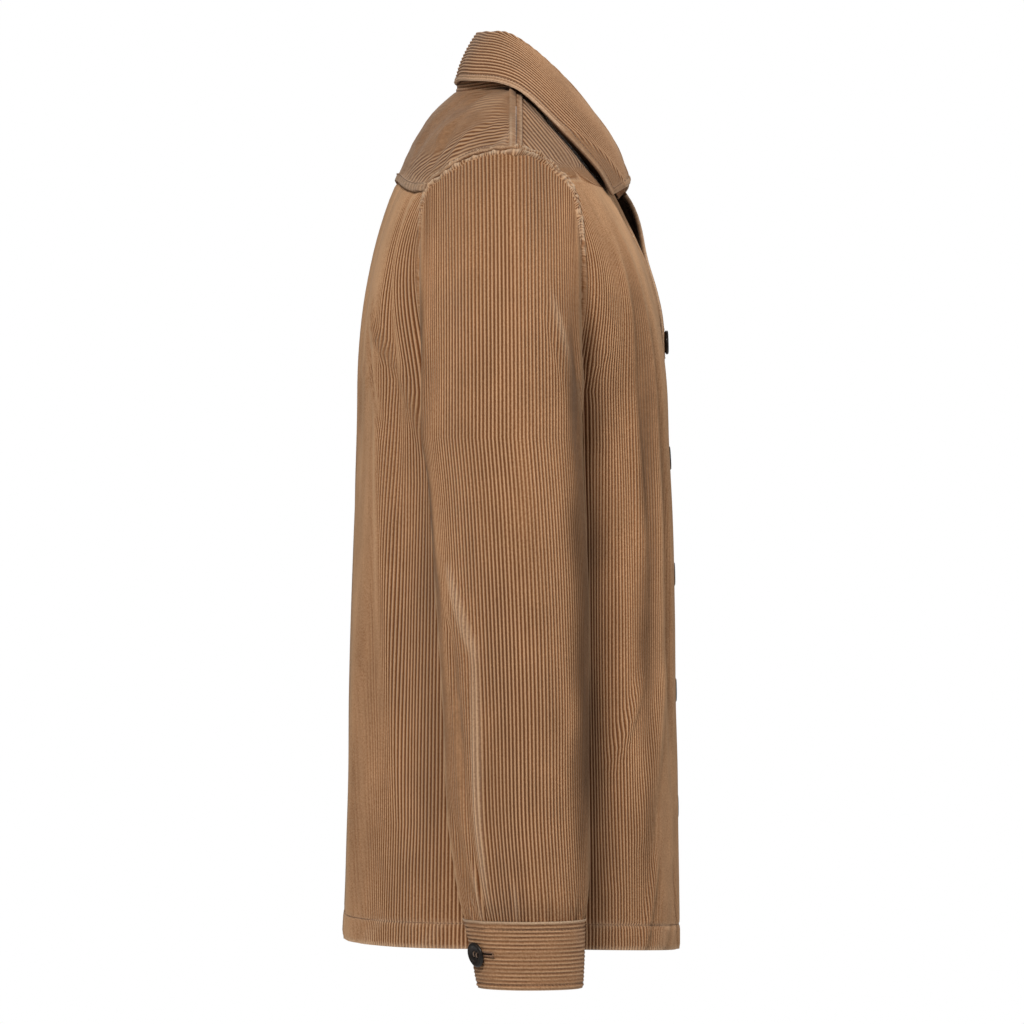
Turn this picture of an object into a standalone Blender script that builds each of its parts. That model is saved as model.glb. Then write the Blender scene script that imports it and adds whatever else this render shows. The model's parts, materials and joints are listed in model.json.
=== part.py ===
"""A corduroy overshirt jacket in its worn, hollow form.

Metres, +Z up. The wearer faces -Y, so the wearer's right sleeve is at -X. The origin is at the base of
the neck, level with the neck end of the shoulder seams. Every cloth piece is a wall between an outer
and an inner surface; both come from the functions below, so that pieces meet along shared seam lines.
"""
import math

import bmesh
import bpy
from mathutils import Vector

COLLECTION = "corduroy_jacket"

# Cloth
WALL = 0.0018
DOUBLED_WALL = 0.0024
HEM_WALL = 0.0032
SEAM = 0.0003
SLEEVE_HEAD_SEAM = 0.0010

# Body
BACK, FRONT = 1, -1
RIGHT, LEFT = -1, 1
QUARTER = 0.275
SIDE_Y = -0.0033
SHOULDER_PEAK = 0.025
SHOULDER_SLOPE = 0.3825
SHOULDER_ROUND = 0.030
CHEST_Z = -0.25
SHOULDER_Z = -0.05
COLUMN_EASE = 0.967
HEM_Z = -0.688
HEM_RISE = 0.008
HEM_DEPTH = 0.020
YOKE_Z = -0.067

# Sections of the body: height, half width, depth behind and in front of the side seams.
BODY_SECTIONS = (
    # z, half_width, back, front
    (0.050, 0.245, 0.127, 0.1255),
    (-0.050, 0.245, 0.127, 0.1255),
    (-0.250, 0.200, 0.1285, 0.1243),
    (-0.330, 0.202, 0.1315, 0.1278),
    (-0.410, 0.205, 0.1345, 0.1299),
    (-0.490, 0.208, 0.1365, 0.1308),
    (-0.570, 0.212, 0.1375, 0.1321),
    (-0.690, 0.216, 0.1415, 0.1338),
)
CHEST_POWER = 2.6
SHOULDER_POWER = 3.4
# How each side rounds over the shoulder: the drop to full depth, how that shrinks outwards, the power.
ROUNDING = {BACK: (0.255, 1.5, 0.5), FRONT: (0.280, 1.5, 0.8)}

# Armhole, seen from the side: angle 0 is its back edge, 90 its top; height at each angle.
ARMHOLE_Y = 0.009
ARMHOLE_HALF = 0.063
ARMHOLE_STEP = 11.25
ARMHOLE_HEIGHTS = (
    # angle, z
    (0.0, -0.143),
    (22.5, -0.084),
    (45.0, -0.0700),
    (67.5, -0.0585),
    (90.0, -0.0540),
    (112.5, -0.0555),
    (135.0, -0.0680),
    (157.5, -0.0900),
    (180.0, -0.148),
    (202.5, -0.195),
    (225.0, -0.220),
    (247.5, -0.2435),
    (270.0, -0.2435),
    (292.5, -0.2375),
    (315.0, -0.2220),
    (337.5, -0.1900),
)
YOKE_ANGLE = 22.5
TOP_ANGLE = 101.25
UNDERARM_ANGLE = 258.75

# Neckline, seen from above
NECK_X = 0.075
NECK_BACK = 0.050
NECK_FRONT = 0.085

# Front opening
BAND_EDGE = 0.018
BAND_WIDTH = 0.034
OPEN_TOP_Z = -0.075
OPEN_END_Z = -0.195
OPEN_SHIFT = 0.0261
LEFT_LAP = 0.0024
LAP_REACH = 0.045
LAP_END_Z = -0.076
LAP_FADE = 0.055
FLARE_Z = -0.088
FLARE_HALF = 0.050
LEFT_FLARE = 0.0088
RIGHT_FLARE = -0.0025
PLACKET_LIFT = 0.0006
PLACKET_DIP = 0.0062
PLACKET_FLAT = 0.013
PLACKET_DIP_HALF = 0.060
PLACKET_DIP_Z = -0.165
PLACKET_DIP_FADE = 0.080

# Sleeve sections of the right arm's size: height, back and front edge, inner and outer side.
SLEEVE_SECTIONS = (
    # z, back, front, inner, outer
    (-0.280, 0.069, -0.0545, 0.2090, 0.3360),
    (-0.330, 0.063, -0.0560, 0.2110, 0.3370),
    (-0.410, 0.058, -0.0590, 0.2130, 0.3350),
    (-0.490, 0.053, -0.0590, 0.2150, 0.3310),
    (-0.570, 0.050, -0.0590, 0.2180, 0.3270),
    (-0.610, 0.045, -0.0590, 0.2200, 0.3240),
    (-0.638, 0.040, -0.0580, 0.2230, 0.3190),
    (-0.652, 0.0365, -0.0560, 0.2270, 0.3100),
)
SLEEVE_POWER = 2.15
CAP_STEPS = (0.0, 0.07, 0.2, 0.35, 0.52, 0.7, 0.85, 1.0)
SLEEVE_ROWS = (-0.31, -0.35, -0.39, -0.43, -0.47, -0.51, -0.55, -0.585, -0.615, -0.638, -0.652)

# Cuff sections
CUFF_SECTIONS = (
    # z, back, front, inner, outer
    (-0.6523, 0.0375, -0.0570, 0.2260, 0.3110),
    (-0.6790, 0.0320, -0.0565, 0.2280, 0.3060),
    (-0.7060, 0.0270, -0.0555, 0.2300, 0.3010),
)
CUFF_START = -12.0
CUFF_LAP = 55.0
CUFF_STEP_IN = 0.0034
CUFF_COLUMNS = 34

# Collar: around the neck from the centre back (0) to the throat; the fold and the leaf's outer edge.
COLLAR_SECTIONS = (
    # angle, fold_x, fold_y, fold_z, edge_x, edge_y, edge_z
    (0.0, 0.000, 0.0260, 0.0560, 0.000, 0.0470, 0.0135),
    (45.0, 0.045, 0.0165, 0.0530, 0.066, 0.0370, 0.0125),
    (90.0, 0.064, -0.0030, 0.0475, 0.102, -0.0030, 0.0030),
    (120.0, 0.057, -0.0390, 0.0190, 0.114, -0.0390, -0.0290),
    (150.0, 0.036, -0.0775, -0.0270, 0.109, -0.0690, -0.0600),
    (171.0, 0.013, -0.0975, -0.0650, 0.097, -0.0820, -0.0815),
)
NECK_STEP = 18.0
NECK_STEPS_BACK = 5
NECK_STEPS_FRONT = 3
BAND_ANGLES = (144.0, 162.0, 171.0)
COLLAR_END = 171.0
LEAF_WALL = 0.0024
LEAF_ROLL = 0.0032
LEAF_BULGE = 0.0056
LEAF_BULGE_BACK = 0.0030
LEAF_ROWS = (0.2, 0.45, 0.72, 1.0)
STAND_WALL = 0.0020
STAND_BULGE = 0.0020

# Buttons
BUTTON_RADIUS = 0.0100
BUTTON_THICKNESS = 0.0034
BUTTON_CLEAR = 0.0004
BUTTON_SIDES = 20
FRONT_BUTTONS = 5
FIRST_BUTTON_Z = -0.198
BUTTON_SPACING = 0.095
CUFF_BUTTON_ANGLE = 31.5
CUFF_BUTTON_Z = -0.6785

# Folds of the body: side, then where each starts and ends as a share of the way from the centre line
# to the side seam and a height, half its width, and how far it stands out.
BODY_FOLDS = (
    # side, share_1, z_1, share_2, z_2, half_width, height
    (BACK, -0.50, -0.170, -0.66, -0.560, 0.028, 0.0062),
    (BACK, -0.66, -0.090, -0.70, -0.300, 0.014, 0.0044),
    (BACK, -0.56, -0.085, -0.60, -0.240, 0.013, -0.0034),
    (BACK, 0.52, -0.160, 0.64, -0.500, 0.028, 0.0056),
    (BACK, 0.67, -0.090, 0.71, -0.290, 0.014, 0.0042),
    (BACK, -0.30, -0.400, -0.34, -0.680, 0.030, 0.0025),
    (BACK, 0.22, -0.380, 0.26, -0.680, 0.030, 0.0028),
    (FRONT, -0.50, -0.120, -0.46, -0.480, 0.022, 0.0050),
    (FRONT, -0.74, -0.300, -0.72, -0.620, 0.024, -0.0055),
    (FRONT, -0.42, -0.460, -0.60, -0.600, 0.020, 0.0030),
    (FRONT, 0.48, -0.130, 0.46, -0.460, 0.024, 0.0048),
    (FRONT, 0.72, -0.320, 0.74, -0.620, 0.024, -0.0052),
    (FRONT, 0.40, -0.500, 0.56, -0.640, 0.020, 0.0028),
)
# Folds of a sleeve, by its angle; FOLD_STRENGTH says how strong they are on each hand.
SLEEVE_FOLDS = (
    # angle_1, z_1, angle_2, z_2, half_width, height
    (28.0, -0.395, 50.0, -0.445, 0.014, 0.0030),
    (50.0, -0.445, 62.0, -0.640, 0.014, 0.0036),
    (20.0, -0.560, 40.0, -0.645, 0.010, -0.0030),
    (86.0, -0.600, 90.0, -0.652, 0.008, -0.0030),
    (150.0, -0.180, 172.0, -0.260, 0.012, -0.0030),
    (20.0, -0.190, 8.0, -0.300, 0.014, 0.0030),
    (330.0, -0.400, 300.0, -0.450, 0.016, 0.0030),
    (215.0, -0.600, 222.0, -0.652, 0.009, -0.0030),
)
FOLD_STRENGTH = {RIGHT: 0.78, LEFT: 0.85}

# Colours: linear red, green, blue; then roughness
FINISHES = {
    "corduroy": ((0.235, 0.118, 0.056), 0.9),
    "collar": ((0.290, 0.155, 0.080), 0.9),
    "button": ((0.012, 0.009, 0.008), 0.3),
}


def clear_scene():
    for old in list(bpy.data.objects):
        bpy.data.objects.remove(old, do_unlink=True)


def make_material(name, finish):
    colour, roughness = FINISHES[finish]
    material = bpy.data.materials.new(name)
    material.use_nodes = True
    shader = material.node_tree.nodes["Principled BSDF"]
    shader.inputs["Base Color"].default_value = (*colour, 1.0)
    shader.inputs["Roughness"].default_value = roughness
    shader.inputs["Metallic"].default_value = 0.0
    return material


def mix(a, b, share):
    return a + (b - a) * share


def smooth(value):
    value = min(1.0, max(0.0, value))
    return value * value * (3.0 - 2.0 * value)


def find_root(function, low, high):
    """The place between low and high where a function that falls from above zero crosses it."""
    for _ in range(40):
        middle = (low + high) / 2
        if function(middle) > 0:
            low = middle
        else:
            high = middle
    return (low + high) / 2


def read_table(table, key):
    """A row of a table at a key between its rows, on a smooth curve through them."""
    rising = table[-1][0] > table[0][0]
    rows = table if rising else table[::-1]
    key = min(rows[-1][0], max(rows[0][0], key))
    k = next(i for i in range(len(rows) - 1) if key <= rows[i + 1][0])
    p1, p2 = rows[k], rows[k + 1]
    p0, p3 = rows[max(k - 1, 0)], rows[min(k + 2, len(rows) - 1)]
    span = p2[0] - p1[0]
    t = (key - p1[0]) / span
    values = []
    for column in range(1, len(p1)):
        slope_1 = (p2[column] - p0[column]) / (p2[0] - p0[0]) * span
        slope_2 = (p3[column] - p1[column]) / (p3[0] - p1[0]) * span
        values.append(
            (2 * t**3 - 3 * t**2 + 1) * p1[column]
            + (t**3 - 2 * t**2 + t) * slope_1
            + (3 * t**2 - 2 * t**3) * p2[column]
            + (t**3 - t**2) * slope_2
        )
    return values


# ---- The body's surface ----

def arc_table(steps=400):
    """Share of the way round a quarter of the chest section, against share of its half width."""
    _, half_width, back, _ = BODY_SECTIONS[2]
    table = [(0.0, 0.0)]
    x_old, y_old, length = 0.0, back, 0.0
    for k in range(1, steps + 1):
        angle = math.pi / 2 * k / steps
        x = half_width * math.sin(angle) ** (2 / CHEST_POWER)
        y = back * max(0.0, math.cos(angle)) ** (2 / CHEST_POWER)
        length += math.hypot(x - x_old, y - y_old)
        table.append((length, x / half_width))
        x_old, y_old = x, y
    return [(arc / length, share) for arc, share in table]


ARC = arc_table()


def width_share(share):
    """Share of the half width at a share of the way round from the centre line to the side seam."""
    share = min(1.0, max(0.0, share))
    k = 1
    while ARC[k][0] < share and k < len(ARC) - 1:
        k += 1
    (arc_1, width_1), (arc_2, width_2) = ARC[k - 1], ARC[k]
    return mix(width_1, width_2, (share - arc_1) / (arc_2 - arc_1))


def shoulder_z(x):
    return SHOULDER_PEAK - SHOULDER_SLOPE * (math.hypot(x, SHOULDER_ROUND) - SHOULDER_ROUND)


def shoulder_weight(z):
    """0 on the chest and below, 1 at the shoulder."""
    return smooth((z - CHEST_Z) / (SHOULDER_Z - CHEST_Z))


def front_dip(x, z):
    """Depth of the shallow trough down the fronts, in which the placket lies."""
    across = (abs(x) - PLACKET_FLAT) / (PLACKET_DIP_HALF - PLACKET_FLAT)
    return PLACKET_DIP * (1 - smooth(across)) * smooth((PLACKET_DIP_Z - z) / PLACKET_DIP_FADE)


def body_y(side, x, z):
    half_width, back, front = read_table(BODY_SECTIONS, z)
    depth = back if side == BACK else front
    power = mix(CHEST_POWER, SHOULDER_POWER, shoulder_weight(z))
    across = min(1.0, abs(x) / half_width)
    drop, drop_change, round_power = ROUNDING[side]
    fall = min(1.0, max(0.0, (shoulder_z(x) - z) / (drop - drop_change * x * x)))
    rounding = (1 - (1 - fall) ** 2) ** round_power
    dip = front_dip(x, z) if side == FRONT else 0.0
    return SIDE_Y + side * (SEAM / 2 + depth * (1 - across**power) ** (1 / power) * rounding - dip)


def column_x(share, z):
    """x of the column that is a share of the way round; a share below 0 is on the right."""
    half_width = read_table(BODY_SECTIONS, z)[0]
    chest = width_share(abs(share))
    shoulder = min(1.0, abs(share) * QUARTER * COLUMN_EASE / BODY_SECTIONS[0][1])
    return math.copysign(half_width * mix(chest, shoulder, shoulder_weight(z)), share)


def body_point(side, share, z):
    x = column_x(share, z)
    z = min(z, shoulder_z(x))
    return Vector((x, body_y(side, x, z), z))


def body_normal(side, share, z):
    step_share, step_z = 0.004, 0.0012
    inner = max(-1.0, min(1.0, share - step_share))
    outer = max(-1.0, min(1.0, share + step_share))
    along = body_point(side, outer, z) - body_point(side, inner, z)
    down = body_point(side, share, z - step_z) - body_point(side, share, z + step_z)
    normal = along.cross(down) * side
    if abs(share) >= 1.0 or z >= shoulder_z(column_x(share, z)) - 0.0001:
        normal.y = 0.0
    return normal.normalized()


def fold_height(offset_across, offset_along, length, half_width, height):
    across = min(1.0, abs(offset_across) / half_width)
    along = min(1.0, max(0.0, 0.5 + offset_along / length))
    return height * (0.5 + 0.5 * math.cos(math.pi * across)) * math.sin(math.pi * along) ** 0.7


def fold_sum(folds, scale, column, z):
    """Height of all folds at a column and height; scale turns a column into metres."""
    total = 0.0
    for column_1, z_1, column_2, z_2, half_width, height in folds:
        line = Vector(((column_2 - column_1) * scale, z_2 - z_1))
        length = line.length
        line.normalize()
        middle = Vector((column * scale, z)) - Vector(((column_1 + column_2) / 2 * scale, (z_1 + z_2) / 2))
        total += fold_height(line.x * middle.y - line.y * middle.x, line.dot(middle), length * 1.1,
                             half_width, height)
    return total


def body_fold(side, share, z):
    folds = [fold[1:] for fold in BODY_FOLDS if fold[0] == side]
    return fold_sum(folds, QUARTER, share, z)


# ---- Seam lines on the body ----

def armhole_yz(angle):
    """The armhole's place, seen from the side."""
    heights = ARMHOLE_HEIGHTS + ((360.0, ARMHOLE_HEIGHTS[0][1]),)
    y = ARMHOLE_Y + ARMHOLE_HALF * math.cos(math.radians(angle))
    return y, read_table(heights, angle % 360.0)[0]


def armhole_x(side, y, z):
    """Distance from the centre plane where the body's surface passes through y and z."""
    depth = abs(y - SIDE_Y)
    half_width = read_table(BODY_SECTIONS, z)[0]
    low = 0.5 * half_width
    return find_root(lambda x: abs(body_y(side, x, z) - SIDE_Y) - depth, low, half_width)


def column_at(x, z):
    """Share of the way round at a distance x."""
    return find_root(lambda share: x - column_x(share, z), 0.0, 1.0)


def armhole_edge(side, angle):
    """Column and height of a panel's edge at an angle of the armhole."""
    y, z = armhole_yz(angle)
    if abs(y - SIDE_Y) < 0.001:
        z_top = z > ARMHOLE_HEIGHTS[0][1]
        share = column_at(find_root(lambda x: shoulder_z(x) - z, 0.1, 0.3), z) if z_top else 1.0
        return share, z
    return column_at(armhole_x(side, y, z), z), z


def armhole_point(angle):
    y, z = armhole_yz(angle)
    side = BACK if y > SIDE_Y else FRONT
    share, z = armhole_edge(side, angle)
    point = body_point(side, share, z)
    return point, body_normal(side, share, z)


def neck_place(angle):
    """Side, x and height of the neckline at an angle round the neck; it is an ellipse from above."""
    turn = math.radians(abs(angle))
    side = BACK if abs(angle) <= 90.0 else FRONT
    x = NECK_X * math.sin(turn)
    reach = NECK_BACK if side == BACK else NECK_FRONT
    depth = reach * abs(math.cos(turn))
    top = shoulder_z(x)
    fall = find_root(lambda f: depth - abs(body_y(side, x, top - f) - SIDE_Y), 0.0, 0.15)
    if abs(angle) == 90.0:
        fall = 0.0
    return side, x, top - fall


def top_edge(side, neck_angles, spans):
    """Columns and heights of a panel's top edge: along the neckline, then along the shoulder seam."""
    edge = []
    for angle in neck_angles:
        _, x, z = neck_place(angle)
        edge.append((column_at(x, z), z))
    _, z_end = armhole_yz(TOP_ANGLE)
    x_end = find_root(lambda x: shoulder_z(x) - z_end, 0.1, 0.3)
    for k in range(1, spans + 1):
        x = mix(NECK_X, x_end, k / spans)
        edge.append((column_at(x, shoulder_z(x)), shoulder_z(x)))
    return edge


def hem_height(share):
    return HEM_Z + HEM_RISE * smooth(abs(share))


def yoke_height(share):
    edge = armhole_edge(BACK, YOKE_ANGLE)
    return mix(YOKE_Z, edge[1], smooth(abs(share) / edge[0]))


# ---- Walls ----

def new_object(name, mesh, finish):
    piece = bpy.data.objects.new(name, mesh)
    bpy.data.collections[COLLECTION].objects.link(piece)
    mesh.materials.clear()
    mesh.materials.append(make_material(name, finish))
    return piece


def wall_piece(name, outer, inner, finish, ring=False):
    """A closed wall lofted between two grids of points, rows of equal length."""
    form = bmesh.new()
    outside = [[form.verts.new(point) for point in row] for row in outer]
    inside = [[form.verts.new(point) for point in row] for row in inner]
    rows, columns = len(outside), len(outside[0])
    spans = columns if ring else columns - 1
    for grid in (outside, inside):
        for r in range(rows - 1):
            for c in range(spans):
                d = (c + 1) % columns
                form.faces.new((grid[r][c], grid[r][d], grid[r + 1][d], grid[r + 1][c]))
    for r in (0, rows - 1):
        for c in range(spans):
            d = (c + 1) % columns
            form.faces.new((outside[r][c], outside[r][d], inside[r][d], inside[r][c]))
    if not ring:
        for c in (0, columns - 1):
            for r in range(rows - 1):
                form.faces.new((outside[r][c], outside[r + 1][c], inside[r + 1][c], inside[r][c]))
    bmesh.ops.recalc_face_normals(form, faces=form.faces)
    mesh = bpy.data.meshes.new(name)
    form.to_mesh(mesh)
    form.free()
    mesh.shade_smooth()
    mesh.set_sharp_from_angle(angle=math.radians(50))
    return new_object(name, mesh, finish)


def panel(name, side, grid, wall_at, lift_at, finish="corduroy"):
    """A body panel from a grid of columns and heights, with its wall and its lift off the surface."""
    outer, inner = [], []
    for row in grid:
        outer_row, inner_row = [], []
        for share, z in row:
            point = body_point(side, share, z)
            normal = body_normal(side, share, z)
            lift = body_fold(side, share, z) + lift_at(share, z)
            outer_row.append(point + normal * lift)
            inner_row.append(point + normal * (lift - wall_at(z, share)))
        outer.append(outer_row)
        inner.append(inner_row)
    return wall_piece(name, outer, inner, finish)


def body_wall(z, share):
    """Wall of a body panel, doubled where the hem is turned up."""
    above = z - hem_height(share) - HEM_DEPTH
    return mix(HEM_WALL, WALL, smooth(above / 0.004))


def lower_heights(count, share):
    """Heights from the hem to the underarm; the first three make the turned hem."""
    hem = hem_height(share)
    top = armhole_yz(UNDERARM_ANGLE)[1]
    start = hem + HEM_DEPTH + 0.0045
    heights = [hem, hem + HEM_DEPTH]
    heights += [mix(start, top, k / count) for k in range(count)]
    return heights


def armhole_rows(side, first, last):
    """For each row of a panel beside the armhole, its edge column and how far up it is, 0 to 1."""
    count = round(abs(last - first) / ARMHOLE_STEP)
    edges = [armhole_edge(side, mix(first, last, k / count)) for k in range(count + 1)]
    low, high = edges[0][1], edges[-1][1]
    return [(edge, (z - low) / (high - low)) for edge, z in edges]


def lean(inner, edge, edge_line, u):
    """A column between inner (u 0) and the armhole (u 1); only the outer ones follow its curve."""
    return mix(inner, edge_line, u) + (edge - edge_line) * u**3


# ---- Body panels ----

def opening_shift(z):
    """How far the front edges are parted above the first button."""
    return OPEN_SHIFT * smooth((z - OPEN_END_Z) / (OPEN_TOP_Z - OPEN_END_Z))


def front_edge(z, inset=0.0):
    """Column where a front meets its band, or a column inset from there over the band."""
    x = BAND_EDGE + opening_shift(z) - inset
    return math.copysign(column_at(abs(x), z), x)


def front_lift(hand):
    """Lift of a front off the body's surface: the left laps over, and both part at the throat."""
    lap = LEFT_LAP if hand == LEFT else 0.0
    flare = LEFT_FLARE if hand == LEFT else RIGHT_FLARE

    def lift(share, z):
        distance = abs(share) * QUARTER if share * hand > 0 else 0.0
        near = 1 - smooth((distance - opening_shift(z) - BAND_EDGE) / LAP_REACH)
        lapped = smooth((LAP_END_Z - z) / LAP_FADE)
        flared = 1 - smooth(abs(z - FLARE_Z) / FLARE_HALF)
        return near * (lap * lapped + flare * flared)

    return lift


def front_grid():
    """Columns and heights of a front, from the hem up to the neckline and shoulder seam."""
    neck_angles = [180.0 - NECK_STEP * k for k in range(2, 2 + NECK_STEPS_FRONT + 1)]
    top = top_edge(FRONT, neck_angles, 7)
    inner_top, outer_top = top[0][0], top[-1][0]
    columns = [(share - inner_top) / (outer_top - inner_top) for share, _ in top]
    bottom = armhole_yz(UNDERARM_ANGLE)[1]
    grid = []
    for k in range(len(lower_heights(9, 0.0))):
        row = []
        for u in columns:
            z = lower_heights(9, mix(front_edge(HEM_Z), 1.0, u))[k]
            row.append((mix(front_edge(z), 1.0, u), z))
        grid.append(row)
    for edge, rise in armhole_rows(FRONT, UNDERARM_ANGLE, TOP_ANGLE)[1:]:
        row = []
        for u, (_, z_top) in zip(columns, top):
            z = mix(bottom, z_top, rise)
            row.append((lean(front_edge(z), edge, mix(1.0, outer_top, rise), u), z))
        grid.append(row)
    return grid


def make_fronts():
    grid = front_grid()
    for hand, name in ((RIGHT, "front_right"), (LEFT, "front_left")):
        rows = []
        for row in grid:
            inner = row[0][0] + SEAM / QUARTER
            rows.append([(hand * inner, row[0][1])] + [(hand * share, z) for share, z in row[1:]])
        panel(name, FRONT, rows, body_wall, front_lift(hand))


def band_grid(hand):
    """A front band's columns and heights, from the front's edge across the centre line."""
    places = [neck_place(angle) for angle in BAND_ANGLES]
    insets = [BAND_EDGE + OPEN_SHIFT - x for _, x, _ in places]
    bottom = armhole_yz(UNDERARM_ANGLE)[1]
    grid = []
    for z in lower_heights(9, front_edge(HEM_Z)):
        grid.append([(hand * front_edge(z, inset), z) for inset in insets])
    for _, rise in armhole_rows(FRONT, UNDERARM_ANGLE, TOP_ANGLE)[1:]:
        row = []
        for inset, (_, _, z_top) in zip(insets, places):
            z = mix(bottom, z_top, rise)
            row.append((hand * front_edge(z, inset), z))
        grid.append(row)
    return grid


def make_bands():
    lift_right = front_lift(RIGHT)
    lift_left = front_lift(LEFT)
    panel("button_band_right", FRONT, band_grid(RIGHT), lambda z, share: DOUBLED_WALL, lift_right)
    panel("placket_left", FRONT, band_grid(LEFT), lambda z, share: DOUBLED_WALL,
          lambda share, z: lift_left(share, z) + PLACKET_LIFT)


def make_back():
    columns = [k / 9 for k in range(-9, 10)]
    grid = []
    for k in range(len(lower_heights(10, 0.0))):
        grid.append([(u, lower_heights(10, u)[k]) for u in columns])
    edge_top = armhole_edge(BACK, YOKE_ANGLE)[0]
    bottom = armhole_yz(UNDERARM_ANGLE)[1]
    for edge, rise in armhole_rows(BACK, UNDERARM_ANGLE - 360.0, YOKE_ANGLE)[1:]:
        row = []
        for u in columns:
            z = mix(bottom, yoke_height(u * edge_top) - SEAM * 1.4, rise)
            share = lean(0.0, edge, mix(1.0, edge_top, rise), abs(u))
            row.append((math.copysign(share, u), z))
        grid.append(row)
    panel("back_panel", BACK, grid, body_wall, lambda share, z: 0.0)


def make_yoke():
    top = top_edge(BACK, [NECK_STEP * k for k in range(NECK_STEPS_BACK + 1)], 5)
    edge_bottom = armhole_edge(BACK, YOKE_ANGLE)[0]
    edge_top = top[-1][0]
    grid = []
    for edge, rise in armhole_rows(BACK, YOKE_ANGLE, TOP_ANGLE):
        half = []
        for share_top, z_top in top:
            u = share_top / edge_top
            share = lean(0.0, edge, mix(edge_bottom, edge_top, rise), u)
            half.append((share, mix(yoke_height(u * edge_bottom), z_top, rise)))
        grid.append([(-share, z) for share, z in half[:0:-1]] + half)
    panel("yoke", BACK, grid, lambda z, share: DOUBLED_WALL, lambda share, z: PLACKET_LIFT)


# ---- Sleeves and cuffs ----

def ring_point(table, hand, angle, z, offset=0.0):
    """A point of a sleeve's or cuff's section; angle 0 is its back, 90 its outer side."""
    back, front, inner, outer = read_table(table, z)
    cosine, sine = math.cos(math.radians(angle)), math.sin(math.radians(angle))
    power = 2 / SLEEVE_POWER
    across = (outer - inner) / 2 + offset
    along = (back - front) / 2 + offset
    x = (outer + inner) / 2 + math.copysign(across * abs(sine) ** power, sine)
    y = (back + front) / 2 + math.copysign(along * abs(cosine) ** power, cosine)
    return Vector((hand * x, y, z))


def cap_point(hand, angle, t):
    """A point of the sleeve between the armhole (t 0) and the first full section (t 1)."""
    start, normal = armhole_point(angle)
    z_end = SLEEVE_SECTIONS[0][0]
    end = ring_point(SLEEVE_SECTIONS, LEFT, angle, z_end)
    top = (1 + math.sin(math.radians(angle))) / 2
    lead = Vector((0.030 + 0.100 * top, 0.0, -(0.020 + 0.080 * top)))
    fall = Vector((0.0, 0.0, -(0.030 + 0.220 * top)))
    start = start + normal * SEAM * (1 - top)
    point = (
        start * (2 * t**3 - 3 * t**2 + 1)
        + lead * (t**3 - 2 * t**2 + t)
        + end * (3 * t**2 - 2 * t**3)
        + fall * (t**3 - t**2)
    )
    return Vector((hand * point.x, point.y, point.z))


def sleeve_point(hand, angle, row):
    """Row is a share of the cap up to 1, or a height below it."""
    if row >= 0.0:
        return cap_point(hand, angle, row)
    return ring_point(SLEEVE_SECTIONS, hand, angle, row)


def sleeve_normal(hand, angle, row):
    step = 2.0
    around = sleeve_point(hand, angle + step, row) - sleeve_point(hand, angle - step, row)
    if row >= 0.0:
        low, high = max(0.0, row - 0.02), min(1.0, row + 0.02)
        down = sleeve_point(hand, angle, high) - sleeve_point(hand, angle, low)
    else:
        down = sleeve_point(hand, angle, row - 0.002) - sleeve_point(hand, angle, row + 0.002)
    return (around.cross(down) * hand).normalized()


def panel_edge_direction(angle):
    """Across the armhole's edge, along the left panel's surface, into the hole."""
    point, normal = armhole_point(angle)
    tangent = armhole_point(angle + 2.0)[0] - armhole_point(angle - 2.0)[0]
    direction = tangent.cross(normal).normalized()
    centre = Vector((point.x, ARMHOLE_Y, ARMHOLE_HEIGHTS[0][1]))
    if direction.dot(centre - point) < 0:
        direction = -direction
    return direction


def make_sleeve(name, hand):
    angles = [ARMHOLE_STEP * k for k in range(32)]
    outer, inner = [], []
    for row in CAP_STEPS + SLEEVE_ROWS:
        outer_row, inner_row = [], []
        for angle in angles:
            point = sleeve_point(hand, angle, row)
            inward = -sleeve_normal(hand, angle, row)
            if row == 0.0:
                into_hole = panel_edge_direction(angle)
                into_hole.x *= hand
                point = point + into_hole * mix(SEAM, SLEEVE_HEAD_SEAM, smooth(math.sin(math.radians(angle))))
                if inward.dot(into_hole) < 0:
                    inward = -armhole_point(angle)[1]
                    inward.x *= hand
            strength = FOLD_STRENGTH[hand]
            lift = fold_sum(SLEEVE_FOLDS, math.radians(1) * 0.062, angle, point.z) * strength
            if row == 0.0:
                lift = 0.0
            point = point - inward * lift
            outer_row.append(point)
            inner_row.append(point + inward * WALL)
        outer.append(outer_row)
        inner.append(inner_row)
    wall_piece(name, outer, inner, "corduroy", ring=True)


def cuff_point(hand, angle, z):
    """A point of the cuff's outer surface; past its first turn the band steps in, under its start."""
    step_in = smooth((angle - 290.0) / 55.0) * CUFF_STEP_IN
    return ring_point(CUFF_SECTIONS, hand, angle, z, -step_in)


def cuff_normal(hand, angle, z):
    around = cuff_point(hand, angle + 2.0, z) - cuff_point(hand, angle - 2.0, z)
    down = cuff_point(hand, angle, z - 0.002) - cuff_point(hand, angle, z + 0.002)
    return (around.cross(down) * hand).normalized()


def make_cuff(name, hand):
    heights = [section[0] for section in CUFF_SECTIONS]
    outer, inner = [], []
    for z in heights:
        outer_row, inner_row = [], []
        for k in range(CUFF_COLUMNS + 1):
            angle = CUFF_START + (360.0 + CUFF_LAP) * k / CUFF_COLUMNS
            point = cuff_point(hand, angle, z)
            normal = cuff_normal(hand, angle, z)
            outer_row.append(point)
            inner_row.append(point - normal * DOUBLED_WALL)
        outer.append(outer_row)
        inner.append(inner_row)
    wall_piece(name, outer, inner, "corduroy")


# ---- Collar ----

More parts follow.
